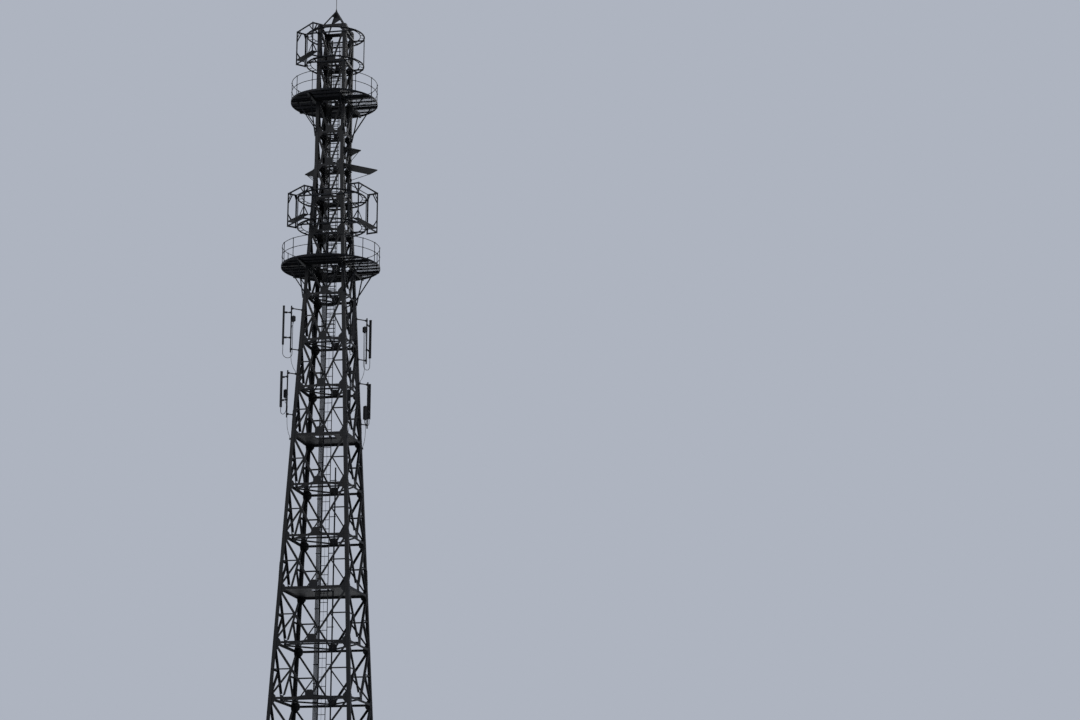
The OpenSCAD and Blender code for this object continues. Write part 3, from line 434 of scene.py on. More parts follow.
def bar_tree():
    """A flat bar one metre long along X, stretched to its length by its point."""
    tree, given = new_tree("flat_bar", {"Bar Thickness": 0.0025, "Bar Height": 0.014})
    size = add_node(tree, "ShaderNodeCombineXYZ", {
        "Y": given.outputs["Bar Thickness"], "Z": given.outputs["Bar Height"]}, X=1.0)
    bar = add_node(tree, "GeometryNodeMeshCube", {"Size": size})
    return set_copies(tree, given, bar)


BOLT, BAR = bolt_tree(), bar_tree()


def scatter(name, tree, places, slot, material=None, **sizes):
    """Runs a tree on (point, turning matrix, stretch) places and keeps the result as a plain mesh."""
    mesh = bpy.data.meshes.new(name + "_points")
    mesh.from_pydata([p for p, _, _ in places], [], [])
    for key, rows in (("turn", [t.to_euler() for _, t, _ in places]), ("stretch", [s for _, _, s in places])):
        values = mesh.attributes.new(key, "FLOAT_VECTOR", "POINT").data
        values.foreach_set("vector", [v for row in rows for v in row])
    points = bpy.data.objects.new(name + "_points", mesh)
    bpy.context.scene.collection.objects.link(points)
    modifier = points.modifiers.new("copies", "NODES")
    modifier.node_group = tree
    for item in tree.interface.items_tree:
        if item.in_out == "INPUT" and item.name in sizes:
            modifier[item.identifier] = sizes[item.name]
        if item.in_out == "INPUT" and item.name == "Material":
            modifier[item.identifier] = material or FINISH[slot]
    graph = bpy.context.evaluated_depsgraph_get()
    made = bpy.data.meshes.new_from_object(points.evaluated_get(graph), depsgraph=graph)
    for key in ("turn", "stretch"):
        if key in made.attributes:
            made.attributes.remove(made.attributes[key])
    bpy.data.objects.remove(points)
    return piece(name, made, slot)


def facing(normal, up=Vector((0, 0, 1))):
    """A turn that brings Z to the normal and keeps Y near up."""
    z = Vector(normal).normalized()
    y = up if abs(z.dot(up)) < 0.95 else Vector((0, 1, 0))
    x = y.cross(z).normalized()
    return Matrix((x, z.cross(x), z)).transposed()


ONE, NO_TURN = (1.0, 1.0, 1.0), Matrix.Identity(3)


def side_facing(q, normal):
    """A turn to a normal that is given for the front side, on side q."""
    return facing(turned(90 * q).to_3x3() @ Vector(normal))


# ---------- cords of the antennas

JUMPER_SIDE = 0.030         # from the unit's middle sideways to the jumper's socket
LEAD_D = 0.012
LEAD_SIDE = 0.020           # from the unit's middle sideways to the lead's socket
LEAD_SPREAD = 1.6           # how much further sideways the lead runs beside the pole
LEAD_OFF = 0.014            # from the pole's skin to the middle of the lead beside it
LEAD_MEETS = 0.190          # below the unit, where the lead reaches the pole
LEAD_ENDS = 0.560           # below the pole's foot, where the lead goes into the leg


def pole_out(row):
    """Distance of a row's poles from the tower's axis."""
    top, _, standoff, _ = ROWS[row]
    return half_w(top - POLE_H / 2) * math.sqrt(2) + standoff


def pole_place(a, turn=0.0):
    """The place of an antenna's pole, with X turned from its leg's diagonal."""
    return turned(90 * a[0] + 45) @ moved(pole_out(a[1]), 0, 0) @ turned(turn)


def jumper_path(a):
    """Down from the panel's underside, half a circle, and up to the radio unit's underside."""
    _, row, panel_turn, unit_turn, unit_h, unit_drop = a
    top, panel_h, _, drop = ROWS[row]
    side = JUMPER_SIDE if panel_turn < 0 else -JUMPER_SIDE
    panel = turned(panel_turn) @ Vector((PANEL_OUT, 0, 0))
    unit = turned(unit_turn) @ Vector((POLE_R + RADIO_GAP + RADIO_D / 2, side, 0))
    half = (unit - panel) / 2
    low, high = top - panel_h - drop, top - unit_drop - unit_h / 2 - SEAT
    points = [panel + Vector((0, 0, low + drop * (1 - i / 4) - SEAT * (i == 0))) for i in range(4)]
    for i in range(17):
        angle = math.pi * i / 16
        down = Vector((0, 0, low - half.length * math.sin(angle)))
        points.append(panel + half * (1 - math.cos(angle)) + down)
    points += [unit + Vector((0, 0, low + (high - low) * i / 6)) for i in range(1, 7)]
    return [pole_place(a) @ p for p in points]


def lead_path(a):
    """A lead that leaves the unit's underside, runs down beside the pole and swings over to the leg."""
    _, row, panel_turn, unit_turn, unit_h, unit_drop = a
    top = ROWS[row][0]
    side = -LEAD_SIDE if panel_turn < 0 else LEAD_SIDE
    start = turned(unit_turn) @ Vector((POLE_R + RADIO_GAP + RADIO_D * 0.3, side, 0))
    beside = Vector((-POLE_R - LEAD_OFF, side * LEAD_SPREAD, 0))
    # Half-way between the two, but never inside the pole
    middle = (start + beside) / 2
    middle *= max(1, 0.045 / middle.length)
    high, foot = top - unit_drop - unit_h / 2 - SEAT, top - POLE_H
    end_z, swung = foot - LEAD_ENDS, high - LEAD_MEETS
    leg = Vector((half_w(end_z) * math.sqrt(2) + 0.020 - pole_out(row), side * 0.5, 0))
    # Knots as (place, height): out of the socket, round the pole, down beside it, and over to the leg
    knots = [(start, high), (start, high - 0.050), (middle, high - 0.120), (beside, swung)]
    along = ((swung + foot + 0.120) / 2, foot + 0.120, foot - 0.060)
    knots += [(beside, z) for z in along if z < swung - 0.060]
    knots += [(beside * 0.88 + leg * 0.12, foot - 0.250), (beside * 0.45 + leg * 0.55, foot - 0.430),
              (leg + Vector((0.012, 0, 0)), end_z + 0.060), (leg, end_z)]
    return [pole_place(a) @ p for p in smooth([p + Vector((0, 0, z)) for p, z in knots], 4)]


def smooth(knots, steps):
    """Points on one smooth curve through the knots."""
    ends = [knots[0] * 2 - knots[1]] + knots + [knots[-1] * 2 - knots[-2]]
    points = []
    for i in range(1, len(ends) - 2):
        p0, p1, p2, p3 = ends[i - 1:i + 3]
        for k in range(steps):
            t = k / steps
            points.append((p1 * 2 + (p2 - p0) * t + (p0 * 2 - p1 * 5 + p2 * 4 - p3) * t * t
                           + (p1 * 3 - p0 - p2 * 3 + p3) * t ** 3) / 2)
    return points + [knots[-1]]


def cord(name, path, diameter, replaced=()):
    """A stiff cable that hangs between two fittings of the tower."""
    shape = Shapes()
    shape.tube(path, diameter / 2, 12)
    tube = shape.finish(name, "cable_jacket")
    if replaced:
        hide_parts(*replaced)


for number, a in enumerate(ANTENNAS, 1):
    cord(f"jumper_cable_{number}", jumper_path(a), 2 * JUMPER_R, ("jumper_cables",) if number == 1 else ())
for number, a in enumerate(ANTENNAS, 1):
    cord(f"power_lead_{number}", lead_path(a), LEAD_D)


# ---------- gratings of the two platforms

FLAT_PITCH, FLAT_T = 0.0225, 0.002      # the grating's flat bars
ROD_PITCH, ROD_T = 0.050, 0.003         # the rods that cross them
BAND_T, BAND_SIDES = 0.003, 96          # the band round the edges


def run(p, q):
    """A place for a flat bar from p to q."""
    p, q = Vector(p), Vector(q)
    d = q - p
    return ((p + q) / 2, turned(math.degrees(math.atan2(d.y, d.x))).to_3x3(), (d.length, 1.0, 1.0))


def chords(r, along_y, x0, x1, y0, y1, pitch, z):
    """Bars clipped to the round floor and to a rectangle of it."""
    out = []
    lo, hi = (x0, x1) if along_y else (y0, y1)
    n = int((hi - lo) / pitch)
    for i in range(n + 1):
        c = lo + (hi - lo - n * pitch) / 2 + i * pitch
        if abs(c) >= r - BAND_T - 0.001:
            continue
        reach = math.sqrt((r - BAND_T) ** 2 - c * c)
        a, b = (max(y0, -reach), min(y1, reach)) if along_y else (max(x0, -reach), min(x1, reach))
        if b - a > 0.01:
            out.append(run((c, a, z), (c, b, z)) if along_y else run((a, c, z), (b, c, z)))
    return out


def deck_grating(name, node, z, r):
    """Four fields of bar grating: the right one has its bars front to back, the others across."""
    hole = half_w(z - DECK_T - SEAT - BEAM_H) + SEAT
    fields = ((True, hole, r, -r, r), (False, -r, -hole, -r, r), (False, -hole, hole, -r, -hole),
              (False, -hole, hole, hole, r))
    flats, rods = [], []
    for along_y, *field in fields:
        flats += chords(r, along_y, *field, FLAT_PITCH, z - DECK_T / 2)
        rods += chords(r, not along_y, *field, ROD_PITCH, z - 0.002)
    bars = scatter(name + "_bars", BAR, flats, "grating", **{
        "Bar Thickness": FLAT_T, "Bar Height": DECK_T - 0.001})
    scatter(name + "_rods", BAR, rods, "grating", **{"Bar Thickness": ROD_T, "Bar Height": ROD_T})
    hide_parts(node)
    band = Shapes()
    inside, outside = circle(r - BAND_T, BAND_SIDES), circle(r, BAND_SIDES)
    under = moved(0, 0, z - DECK_T)
    for i in range(BAND_SIDES):
        j = (i + 1) % BAND_SIDES
        band.prism([inside[i], outside[i], outside[j], inside[j]], DECK_T, under)
    reach = math.sqrt(r * r - hole * hole) - 0.002
    for s in (-1, 1):
        x0, x1 = sorted((s * hole, s * (hole + BAND_T)))
        band.bar(x0, x1, -reach, reach, z - DECK_T, z)
        band.bar(-hole, hole, x0, x1, z - DECK_T, z)
    band.finish(name + "_banding", "grating")


deck_grating("lower_grating", "lower_platform_deck", LOWER_DECK_Z, LOWER_DECK_R)
deck_grating("upper_grating", "upper_platform_deck", UPPER_DECK_Z, UPPER_DECK_R)


# ---------- bolts and splices of the lattice

NODE_ROWS = (-0.125, -0.065, 0.0, 0.065, 0.125)     # up and down a leg at a level
NODE_STAGGER = 0.020                                # from the middle of the leg's flange, to either side
GUSSET_BOLTS = ((0.028, 0.0), (0.070, 0.0), (0.030, -0.075), (0.030, 0.070))     # from the flange's edge
# In half widths of the gusset in the middle of a horizontal
MIDDLE_BOLTS = ((-0.7, 0), (0.7, 0), (0, 0), (-0.45, 0.6), (0.45, 0.6), (-0.62, 1.05), (0.62, 1.05))
SPLICE_W, SPLICE_H, SPLICE_T = 0.088, 0.420, 0.006
SPLICE_BOLTS = [(x, y) for x in (-0.022, 0.022) for y in (-0.170, -0.115, -0.060, 0.060, 0.115, 0.170)]


def face_place(q, leaning):
    """The plane of a face: X across, Y up along it, Z outwards."""
    lean, at_y = (math.atan(LEAN), -BASE_W / 2) if leaning else (0.0, -TOP_W / 2)
    return turned(90 * q) @ moved(0, at_y, 0) @ Matrix.Rotation(-lean, 4, "X") @ turned(90, "X")


def up(z, leaning):
    """A height, measured along a face."""
    return z / math.cos(math.atan(LEAN)) if leaning else z


def face_bolts(levels, leaning):
    """Bolts as (x, y, depth) in a face's plane: leg nodes, middle gussets, and the secondary bars."""
    spots = []
    behind, half = LEG_T + SEAT, MID_GUSSET_W / 2
    for i, z in enumerate(levels):
        y, w = up(z, leaning) - BAR_W / 2, half_w(z)
        for s in (-1, 1):
            spots += [(s * (w - LEG_W / 2 + (NODE_STAGGER if k % 2 else -NODE_STAGGER)), y + row, 0)
                      for k, row in enumerate(NODE_ROWS)]
            spots += [(s * (w - LEG_W - x), y + row, behind) for x, row in GUSSET_BOLTS]
        if i == len(levels) - 1:
            continue
        spots += [(x * half, y + row * half, behind) for x, row in MIDDLE_BOLTS]
        if z > NECK_Z - 0.001:
            continue
        above = levels[i + 1]
        foot_y, head_y = up(z, leaning) + DIAGONAL_W, up(above, leaning) - BAR_W
        middle_y, middle_x = (foot_y + head_y) / 2, (DIAGONAL_W + half_w(above) - LEG_W / 2) / 2
        leg_x = half_w((z + above) / 2) - LEG_W / 2
        # The lower secondary bar runs from the diagonal's middle to the foot of the leg's panel
        foot_x, low_y = half_w(z) - LEG_W / 2, up(z, leaning) + 0.036
        share = 0.075 / math.hypot(foot_x - middle_x, middle_y - low_y)
        for s in (-1, 1):
            spots += [(s * middle_x, middle_y, behind), (s * (middle_x + 0.045), middle_y, behind),
                      (s * leg_x, middle_y, 0), (s * (leg_x - 0.026), middle_y, 0),
                      (s * (foot_x + (middle_x - foot_x) * share), low_y + (middle_y - low_y) * share, 0)]
    # None above the legs' tops
    return [spot for spot in spots if spot[1] < up(SHAFT_H, leaning) - 0.010]


def splice_levels():
    """Heights of the leg splices: a third of the way up every third panel."""
    return [LEVELS[i] * 2 / 3 + LEVELS[i + 1] / 3 for i in range(1, LOW_PANELS - 1, 3)]


for q, side_name in enumerate(("front", "right", "back", "left")):
    heads, nuts, splices = [], [], Shapes()
    for leaning, levels in ((True, LEVELS[:LOW_PANELS + 5]), (False, LEVELS[LOW_PANELS + 4:])):
        place = face_place(q, leaning)
        turn = place.to_3x3()
        for x, y, depth in face_bolts(levels, leaning):
            heads.append((place @ Vector((x, y, -depth)), turn, ONE))
            nuts.append((place @ Vector((x, y, -LEG_T - BRACE_T - 2 * SEAT)),
                         turn @ Matrix.Rotation(math.pi, 3, "X"), ONE))
    place = face_place(q, True)
    for z in splice_levels():
        for s in (-1, 1):
            x, y = s * (half_w(z) - LEG_W / 2 + 0.002), up(z, True)
            splices.bar(x - SPLICE_W / 2, x + SPLICE_W / 2, y - SPLICE_H / 2, y + SPLICE_H / 2, 0, SPLICE_T,
                        place)
            heads += [(place @ Vector((x + dx, y + dy, SPLICE_T)), place.to_3x3(), ONE)
                      for dx, dy in SPLICE_BOLTS]
    scatter(f"bolts_{side_name}", BOLT, heads, "bracing", ZINC)
    scatter(f"nuts_{side_name}", BOLT, nuts, "bracing", ZINC, **{
        "Washer Height": 0.0012, "Shank Height": 0.007})
    splices.finish(f"leg_splices_{side_name}", "painted")


# ---------- anchor bolts and stiffeners at the feet

FOOT_X, FOOT_T, ANCHOR_OFF = 1.430, 0.025, 0.125
WEB, WEB_T = [(0, 0), (-0.115, 0), (-0.115, 0.020), (-0.012, 0.150), (0, 0.150)], 0.008
SWAP_XY = Matrix(((0, 1, 0, 0), (1, 0, 0, 0), (0, 0, 1, 0), (0, 0, 0, 1)))

anchors, stiffeners = [], Shapes()
for q in range(4):
    corner = turned(90 * q)
    for sx in (-1, 1):
        for sy in (-1, 1):
            at = Vector((FOOT_X + sx * ANCHOR_OFF, FOOT_X + sy * ANCHOR_OFF, FOOT_T))
            anchors.append((corner @ at, NO_TURN, ONE))
    # Upright webs between the base plate and the two flanges of the leg
    inner = BASE_W / 2 - LEG_T - 0.002
    for flip in (Matrix(), SWAP_XY):
        stiffeners.prism(WEB, WEB_T, corner @ flip @ moved(inner, inner - LEG_W * 0.45, FOOT_T)
                         @ turned(90, "X"))
scatter("anchor_bolts", BOLT, anchors, "base_steel", ZINC, **{
    "Washer Radius": 0.028, "Washer Height": 0.004, "Head Radius": 0.021, "Head Height": 0.020,
    "Shank Radius": 0.012, "Shank Height": 0.034})
stiffeners.finish("foot_stiffeners", "base_steel")


# ---------- clamps of the ladder and the cables

def ledge_z(z):
    """Height of the plan bracing at a level."""
    plan_d = half_w(z + PLAN_W) - (LEG_T + BRACE_T + 2 * SEAT) - PLAN_CLEAR
    return z - (half_w(z) - plan_d) * (0 if z > KINK_Z else LEAN)


# Middles of the ladder beams, which lie on the plan bracing or on a landing
BEAM_Z = [ledge_z(z) + (LANDING_T if i in LANDING_LEVELS else PLAN_W) + 2 * SEAT + LADDER_BEAM_W / 2
          for i, z in enumerate(LEVELS[:-1])]


def clear_of_beams(z):
    """The height, moved up where a ladder beam passes behind."""
    return z + 0.090 if any(abs(z - beam) < 0.055 for beam in BEAM_Z) else z


FEEDER_X = [-LADDER_W / 2 - FEEDER_R - CABLE_GAP - i * (2 * FEEDER_R + CABLE_GAP) for i in range(FEEDERS)]
HANGER_STEP, HANGER_T, HANGER_LAP = 0.5, 0.004, 0.012
HANGER_HALF, SPACER_HALF, SPACER_HALF_W = 0.011, 0.009, 0.0028
CLIP_R, CLIP_OFF = 0.003, 0.003

hangers = Shapes()
left, right, front = FEEDER_X[-1] - FEEDER_R - HANGER_LAP, -LADDER_W / 2 + HANGER_LAP, LADDER_Y - 2 * FEEDER_R
for i in range(1, int(LADDER_TOP / HANGER_STEP)):
    # A strip behind the feeders and one in front, with a spacer on each side of every cable
    z = clear_of_beams(HANGER_STEP * i)
    hangers.bar(left, right, LADDER_Y, LADDER_Y + HANGER_T, z - HANGER_HALF, z + HANGER_HALF)
    hangers.bar(left, FEEDER_X[0] + FEEDER_R + 0.003, front - HANGER_T, front, z - HANGER_HALF, z + HANGER_HALF)
    for x in [left + 0.004] + [x + FEEDER_R + CABLE_GAP / 2 for x in FEEDER_X]:
        hangers.bar(x - SPACER_HALF_W, x + SPACER_HALF_W, front, LADDER_Y, z - SPACER_HALF, z + SPACER_HALF)
    if i % 2 == 0 and z < CONDUIT_TOP:
        # A strip with a round clip for the conduit
        hangers.bar(LADDER_W / 2 - HANGER_LAP, CONDUIT_X + CONDUIT_R + HANGER_LAP, LADDER_Y,
                    LADDER_Y + HANGER_T, z - HANGER_HALF, z + HANGER_HALF)
        r = CONDUIT_R + CLIP_OFF
        ring = [(CONDUIT_X + r * math.cos(t), LADDER_Y - CONDUIT_R + r * math.sin(t), z)
                for t in arc(-180, 15, 13)]
        hangers.tube([(ring[0][0], LADDER_Y, z)] + ring + [(ring[-1][0], LADDER_Y, z)], CLIP_R, 8)

# A fall-arrest rope in front of the rungs, on brackets that grip every eighth rung
ROPE_R, ROPE_OFF, BRACKET_HALF_W, BRACKET_T = 0.0035, 0.016, 0.009, 0.004
RUNG_Y = LADDER_Y - STILE_D / 2
rail = Shapes()
rope_y = RUNG_Y - RUNG_R - ROPE_OFF
rail.tube([(0, rope_y, LADDER_FOOT + 0.3), (0, rope_y, LADDER_TOP - 0.1)], ROPE_R, 8)
for i in range(2, 104, 8):
    z = LADDER_FOOT + RUNG_GAP * (i + 0.5)
    for low in (z + RUNG_R, z - RUNG_R - BRACKET_T):
        rail.bar(-BRACKET_HALF_W, BRACKET_HALF_W, rope_y - 0.006, RUNG_Y + RUNG_R + 0.003, low, low + BRACKET_T)
hangers.finish("cable_hangers", "ladder_steel")
rail.finish("fall_arrest_rope", "ladder_steel", ZINC)


# ---------- fittings of the antennas

PANEL_SOCKETS = ((-0.012, -0.024), (0.012, -0.024), (0, 0), (-0.012, 0.024), (0.012, 0.024))
UNIT_SOCKETS = ((0.5, -0.030), (0.5, 0.030), (0.5, 0.0), (0.3, 0.020), (0.3, -0.020))     # X in unit depths
CAP_H, CAP_LIP, CAP_ROUND, CAP_BELOW = 0.012, 0.002, 0.022, 0.003
FINS, FIN_PITCH, FIN_T, FIN_D, FIN_SHORT = 9, 0.0095, 0.002, 0.012, 0.012
HANDLE = ((-0.026, 0), (-0.026, 0.016), (-0.018, 0.022), (0.018, 0.022), (0.026, 0.016), (0.026, 0))
HANDLE_X, HANDLE_R = 0.025, 0.003
U_BOLT_R, U_BOLT_HALF_GAP = 0.0032, 0.014
PLUG_R, PLUG_H = 0.0205, 0.008
STRAP_STEP, STRAP_R = 0.25, 0.0018

caps, plugs, u_bolts, fins = Shapes(), Shapes(), Shapes(), Shapes()


def u_bolt(place, r, tail):
    """A U-bolt round a pipe at the place's origin, open towards -X, with its two tails along -X."""
    path = [Vector((-tail, r, 0)), Vector((0, r, 0))]
    path += [Vector((r * math.sin(t), r * math.cos(t), 0)) for t in arc(18, 18, 9)]
    path += [Vector((0, -r, 0)), Vector((-tail, -r, 0))]
    u_bolts.tube([place @ p for p in path], U_BOLT_R, 8)


def rounded(d, w, r, steps=4):
    """A rounded rectangle centred on the origin."""
    out = []
    for cx, cy, start in ((d / 2 - r, w / 2 - r, 0), (-d / 2 + r, w / 2 - r, 90), (-d / 2 + r, -w / 2 + r, 180),
                          (d / 2 - r, -w / 2 + r, 270)):
        out += [(cx + r * math.cos(t), cy + r * math.sin(t)) for t in arc(start, 90 / steps, steps + 1)]
    return out


def sockets(place, spots, z, steps):
    """Round sockets under a housing, each with a narrower gland, as (radius, height) steps."""
    for x, y in spots:
        for r, h in steps:
            plugs.prism(circle(r, 10), h, place @ moved(x, y, z - h))


def panel_fittings(a):
    """Moulded end caps of the panel, with a lip round each, and its sockets."""
    top, panel_h, _, _ = ROWS[a[1]]
    panel, foot = pole_place(a, a[2]), top - panel_h
    for z in (foot - CAP_BELOW, top - CAP_H + CAP_BELOW):
        caps.prism(rounded(PANEL_D + 2 * CAP_LIP, PANEL_W + 2 * CAP_LIP, CAP_ROUND), CAP_H,
                   panel @ moved(PANEL_OUT, 0, z))
    sockets(panel, [(PANEL_OUT + x, y) for x, y in PANEL_SOCKETS], foot - CAP_BELOW,
            ((0.0095, 0.010), (0.0078, 0.022)))


def unit_fittings(a, under):
    """Sockets of the radio unit, cooling fins on its outer side, and its carrying handle."""
    unit, back, unit_h = pole_place(a, a[3]), POLE_R + RADIO_GAP, a[4]
    sockets(unit, [(back + RADIO_D * x, y) for x, y in UNIT_SOCKETS], under, ((0.0100, 0.009), (0.0088, 0.020)))
    for k in range(FINS):
        y = (k - FINS // 2) * FIN_PITCH
        fins.bar(back + RADIO_D - 0.001, back + RADIO_D + FIN_D, y - FIN_T / 2, y + FIN_T / 2,
                 under + FIN_SHORT, under + unit_h - FIN_SHORT, unit)
    fins.tube([unit @ Vector((back + HANDLE_X, y, z + under + unit_h)) for y, z in HANDLE], HANDLE_R, 8)


def pole_fittings(a, under):
    """U-bolts in pairs, a rounded plug in each end of the pole, and the straps and the gland of the lead."""
    _, row, panel_turn, unit_turn, unit_h, _ = a
    top, panel_h, _, _ = ROWS[row]
    pole = pole_place(a)
    spots = [(panel_turn + 180, top - panel_h / 2 + s * 0.33 * panel_h, 0.023) for s in (-1, 1)]
    spots += [(unit_turn + 180, under + unit_h / 2, 0.023)]
    spots += [(0, top - ARM_BELOW, 0.026), (0, top - POLE_H + ARM_ABOVE, 0.026)]
    for turn, z, tail in spots:
        for dz in (-U_BOLT_HALF_GAP, U_BOLT_HALF_GAP):
            u_bolt(pole_place(a, turn) @ moved(0, 0, z + dz), POLE_R + 0.0045, tail)
    for z in (top - 0.002, top - POLE_H - 0.006):
        caps.prism(circle(PLUG_R, 20), PLUG_H, pole @ moved(0, 0, z))
    # Straps round the pole and the lead, with half a turn round each
    swung, held = under - LEAD_MEETS, top - POLE_H + 0.060
    straps = max(0, round((swung - held) / STRAP_STEP))
    lead = Vector((-POLE_R - LEAD_OFF, LEAD_SIDE * LEAD_SPREAD * (-1 if panel_turn < 0 else 1), 0))
    toward = math.atan2(lead.y, lead.x)
    ring = [lead + Vector((math.cos(toward + t), math.sin(toward + t), 0)) * (LEAD_D / 2 + 0.0015)
            for t in arc(-90, 20, 10)]
    ring += [Vector((math.cos(toward + t), math.sin(toward + t), 0)) * (POLE_R + 0.0015)
             for t in arc(90, 15, 13)]
    for k in range(straps):
        z = swung + (held - swung) * (k + 0.5) / straps
        u_bolts.tube([pole @ (p + Vector((0, 0, z))) for p in ring], STRAP_R, 6, closed=True)
    # The gland on the leg where the lead goes in
    end_z = top - POLE_H - LEAD_ENDS
    leg = pole.inverted() @ lead_path(a)[-1]
    u_bolts.bar(leg.x - 0.052, leg.x + 0.012, leg.y - 0.015, leg.y + 0.015, end_z - 0.050, end_z + 0.003, pole)


for a in ANTENNAS:
    under = ROWS[a[1]][0] - a[5] - a[4] / 2
    panel_fittings(a)
    unit_fittings(a, under)
    pole_fittings(a, under)
caps.finish("panel_caps", "radome")
plugs.finish("cable_glands", "radio_housing", ZINC)
u_bolts.finish("pole_u_bolts", "pipe_steel", ZINC)
fins.finish("radio_fins", "radio_housing")


# ---------- clamps of the platforms, rings and frames

COLLAR_R, COLLAR_H = 0.0135, 0.026
GRIP_HALF_H, GRIP_OFF, GRIP_T = 0.020, 0.0165, 0.003

clamps, small = Shapes(), []
for z, r, posts in ((LOWER_DECK_Z, LOWER_DECK_R, 16), (UPPER_DECK_Z, UPPER_DECK_R, 12)):
    for i in range(posts):
        place = turned(360 / posts * (i + 0.5)) @ moved(r - POST_INSET, 0, z)
        for h in (MID_RAIL_H, RAIL_H):
            # A split collar with its ear and bolt where each rail meets the post
            clamps.prism(circle(COLLAR_R, 12), COLLAR_H, place @ moved(0, 0, h - COLLAR_H / 2))
            clamps.bar(0.010, 0.024, -0.004, 0.004, h - 0.010, h + 0.010, place)
            sideways = facing(place.to_3x3() @ Vector((0, 1, 0)))
            small.append((place @ Vector((0.018, 0.004, h)), sideways, (0.5,) * 3))
        for y in (-0.013, 0.013):
            small.append((place @ Vector((0, y, 0.008)), NO_TURN, (0.45, 0.45, 0.6)))

for z, r in RINGS:
    middle = half_w(z - RING_BAR_H / 2) + SEAT + RING_BAR_W / 2
    reach = math.sqrt(r * r - middle ** 2)
    for q in range(4):
        for s in (-1, 1):
            # A pair of U-bolts where a bar meets the ring
            spot = turned(90 * q) @ Vector((s * reach, middle, z))
            outward = math.degrees(math.atan2(spot.y, spot.x))
            for dz in (-0.016, 0.016):
                place = Matrix.Translation(spot) @ turned(outward) @ turned(90, "X") @ moved(0, 0, dz)
                ring = [place @ Vector((x, y, 0)) for x, y in circle(RING_PIPE_R + 0.0045, 20)]
                clamps.tube(ring, U_BOLT_R, 8, closed=True)


def inner_post_x(r, w):
    """How far out the inner posts of a sector frame stand, where they rest against the ring."""
    return math.sqrt((r + RING_PIPE_R + FRAME_PIPE_R + SEAT) ** 2 - (w / 2) ** 2)


for turn, z, gap, r, w, _ in SECTOR_FRAMES:
    for s in (-1, 1):
        angle = math.degrees(math.atan2(s * w / 2, inner_post_x(r, w)))
        for height in (z, z - gap):
            # Two clamp plates that grip the ring and the frame's inner post between them
            place = turned(turn + angle) @ moved(r, 0, height)
            for side in (-1, 1):
                y = side * GRIP_OFF
                clamps.bar(-0.034, 0.070, y - GRIP_T / 2, y + GRIP_T / 2, -GRIP_HALF_H, GRIP_HALF_H, place)
                for x in (-0.028, 0.062):
                    small.append((place @ Vector((x, y + side * GRIP_T / 2, 0)),
                                  facing(place.to_3x3() @ Vector((0, side, 0))), (0.6,) * 3))
clamps.finish("rail_and_ring_clamps", "pipe_steel")

# A thinner ring inside each ring, on top of its bars, and rungs that join the two
INNER_GAP, INNER_R, RUNGS_ROUND, RING_RUNG_R = 0.110, 0.012, 24, 0.009
walks = Shapes()
for z, r in RINGS:
    high = z + RING_BAR_H / 2 + INNER_R
    walks.tube([(x, y, high) for x, y in circle(r - INNER_GAP, 72)], INNER_R, 8, closed=True)
    for k in range(RUNGS_ROUND):
        t = 2 * math.pi * (k + 0.5) / RUNGS_ROUND
        ends = ((r - INNER_GAP, high), (r - 0.012, z + 0.016))
        walks.tube([(q * math.cos(t), q * math.sin(t), h) for q, h in ends], RING_RUNG_R, 8)
walks.finish("ring_rungs", "pipe_steel")

# An empty cable tray behind the ladder beams, from the upper antennas to the top ring
TRAY_W, TRAY_D, TRAY_T, TRAY_Y = 0.260, 0.030, 0.010, LADDER_Y + 2 * SEAT + LADDER_BEAM_W
TRAY_LOW, TRAY_HIGH, TRAY_RUNG, TRAY_RUNG_H = 17.800, 26.600, 0.110, 0.020
TRAY_CLIP_W, TRAY_CLIP_T, TRAY_CLIP_Y = 0.030, 0.003, TRAY_Y - 0.025
tray = Shapes()
for s in (-1, 1):
    out = TRAY_W / 2
    tray.bar(*sorted((s * out, s * (out - TRAY_T))), TRAY_Y, TRAY_Y + TRAY_D, TRAY_LOW, TRAY_HIGH)
    # Angle clips that hold the tray's sides to the flat flange of each beam
    for z in [z - LADDER_BEAM_W / 2 + BRACE_T + SEAT for z in BEAM_Z if TRAY_LOW < z < TRAY_HIGH]:
        for width, depth, height in ((TRAY_CLIP_T, 0.050, TRAY_CLIP_W), (TRAY_CLIP_W, 0.024, TRAY_CLIP_T)):
            tray.bar(*sorted((s * (out + SEAT), s * (out + SEAT + width))), TRAY_CLIP_Y, TRAY_CLIP_Y + depth,
                     z, z + height)
for i in range(int((TRAY_HIGH - TRAY_LOW) / TRAY_RUNG)):
    z = TRAY_LOW + (i + 0.5) * TRAY_RUNG
    tray.bar(-TRAY_W / 2 + 0.004, TRAY_W / 2 - 0.004, TRAY_Y + 0.006, TRAY_Y + 0.022, z - TRAY_RUNG_H / 2,
             z + TRAY_RUNG_H / 2)
tray.finish("cable_tray", "ladder_steel")

# Flats along the posts and rails of the sector frames, and across their knees
FRAME_FLAT_T, RAIL_FLAT_W, KNEE_FLAT_W, LONG_INSET, KNEE_INSET = 0.005, 0.036, 0.034, 0.012, 0.010
POST_FLAT_IN, POST_FLAT_W, INNER_FLAT_OUT, INNER_FLAT_W = 0.012, 0.026, 0.016, 0.034
# How far along a post the knees reach: outer at the top, inner, outer at the floor, and in the front
OUTER_KNEE, INNER_KNEE, FLOOR_KNEE, FRONT_KNEE = 0.310, 0.200, 0.240, 0.220
flats = Shapes()


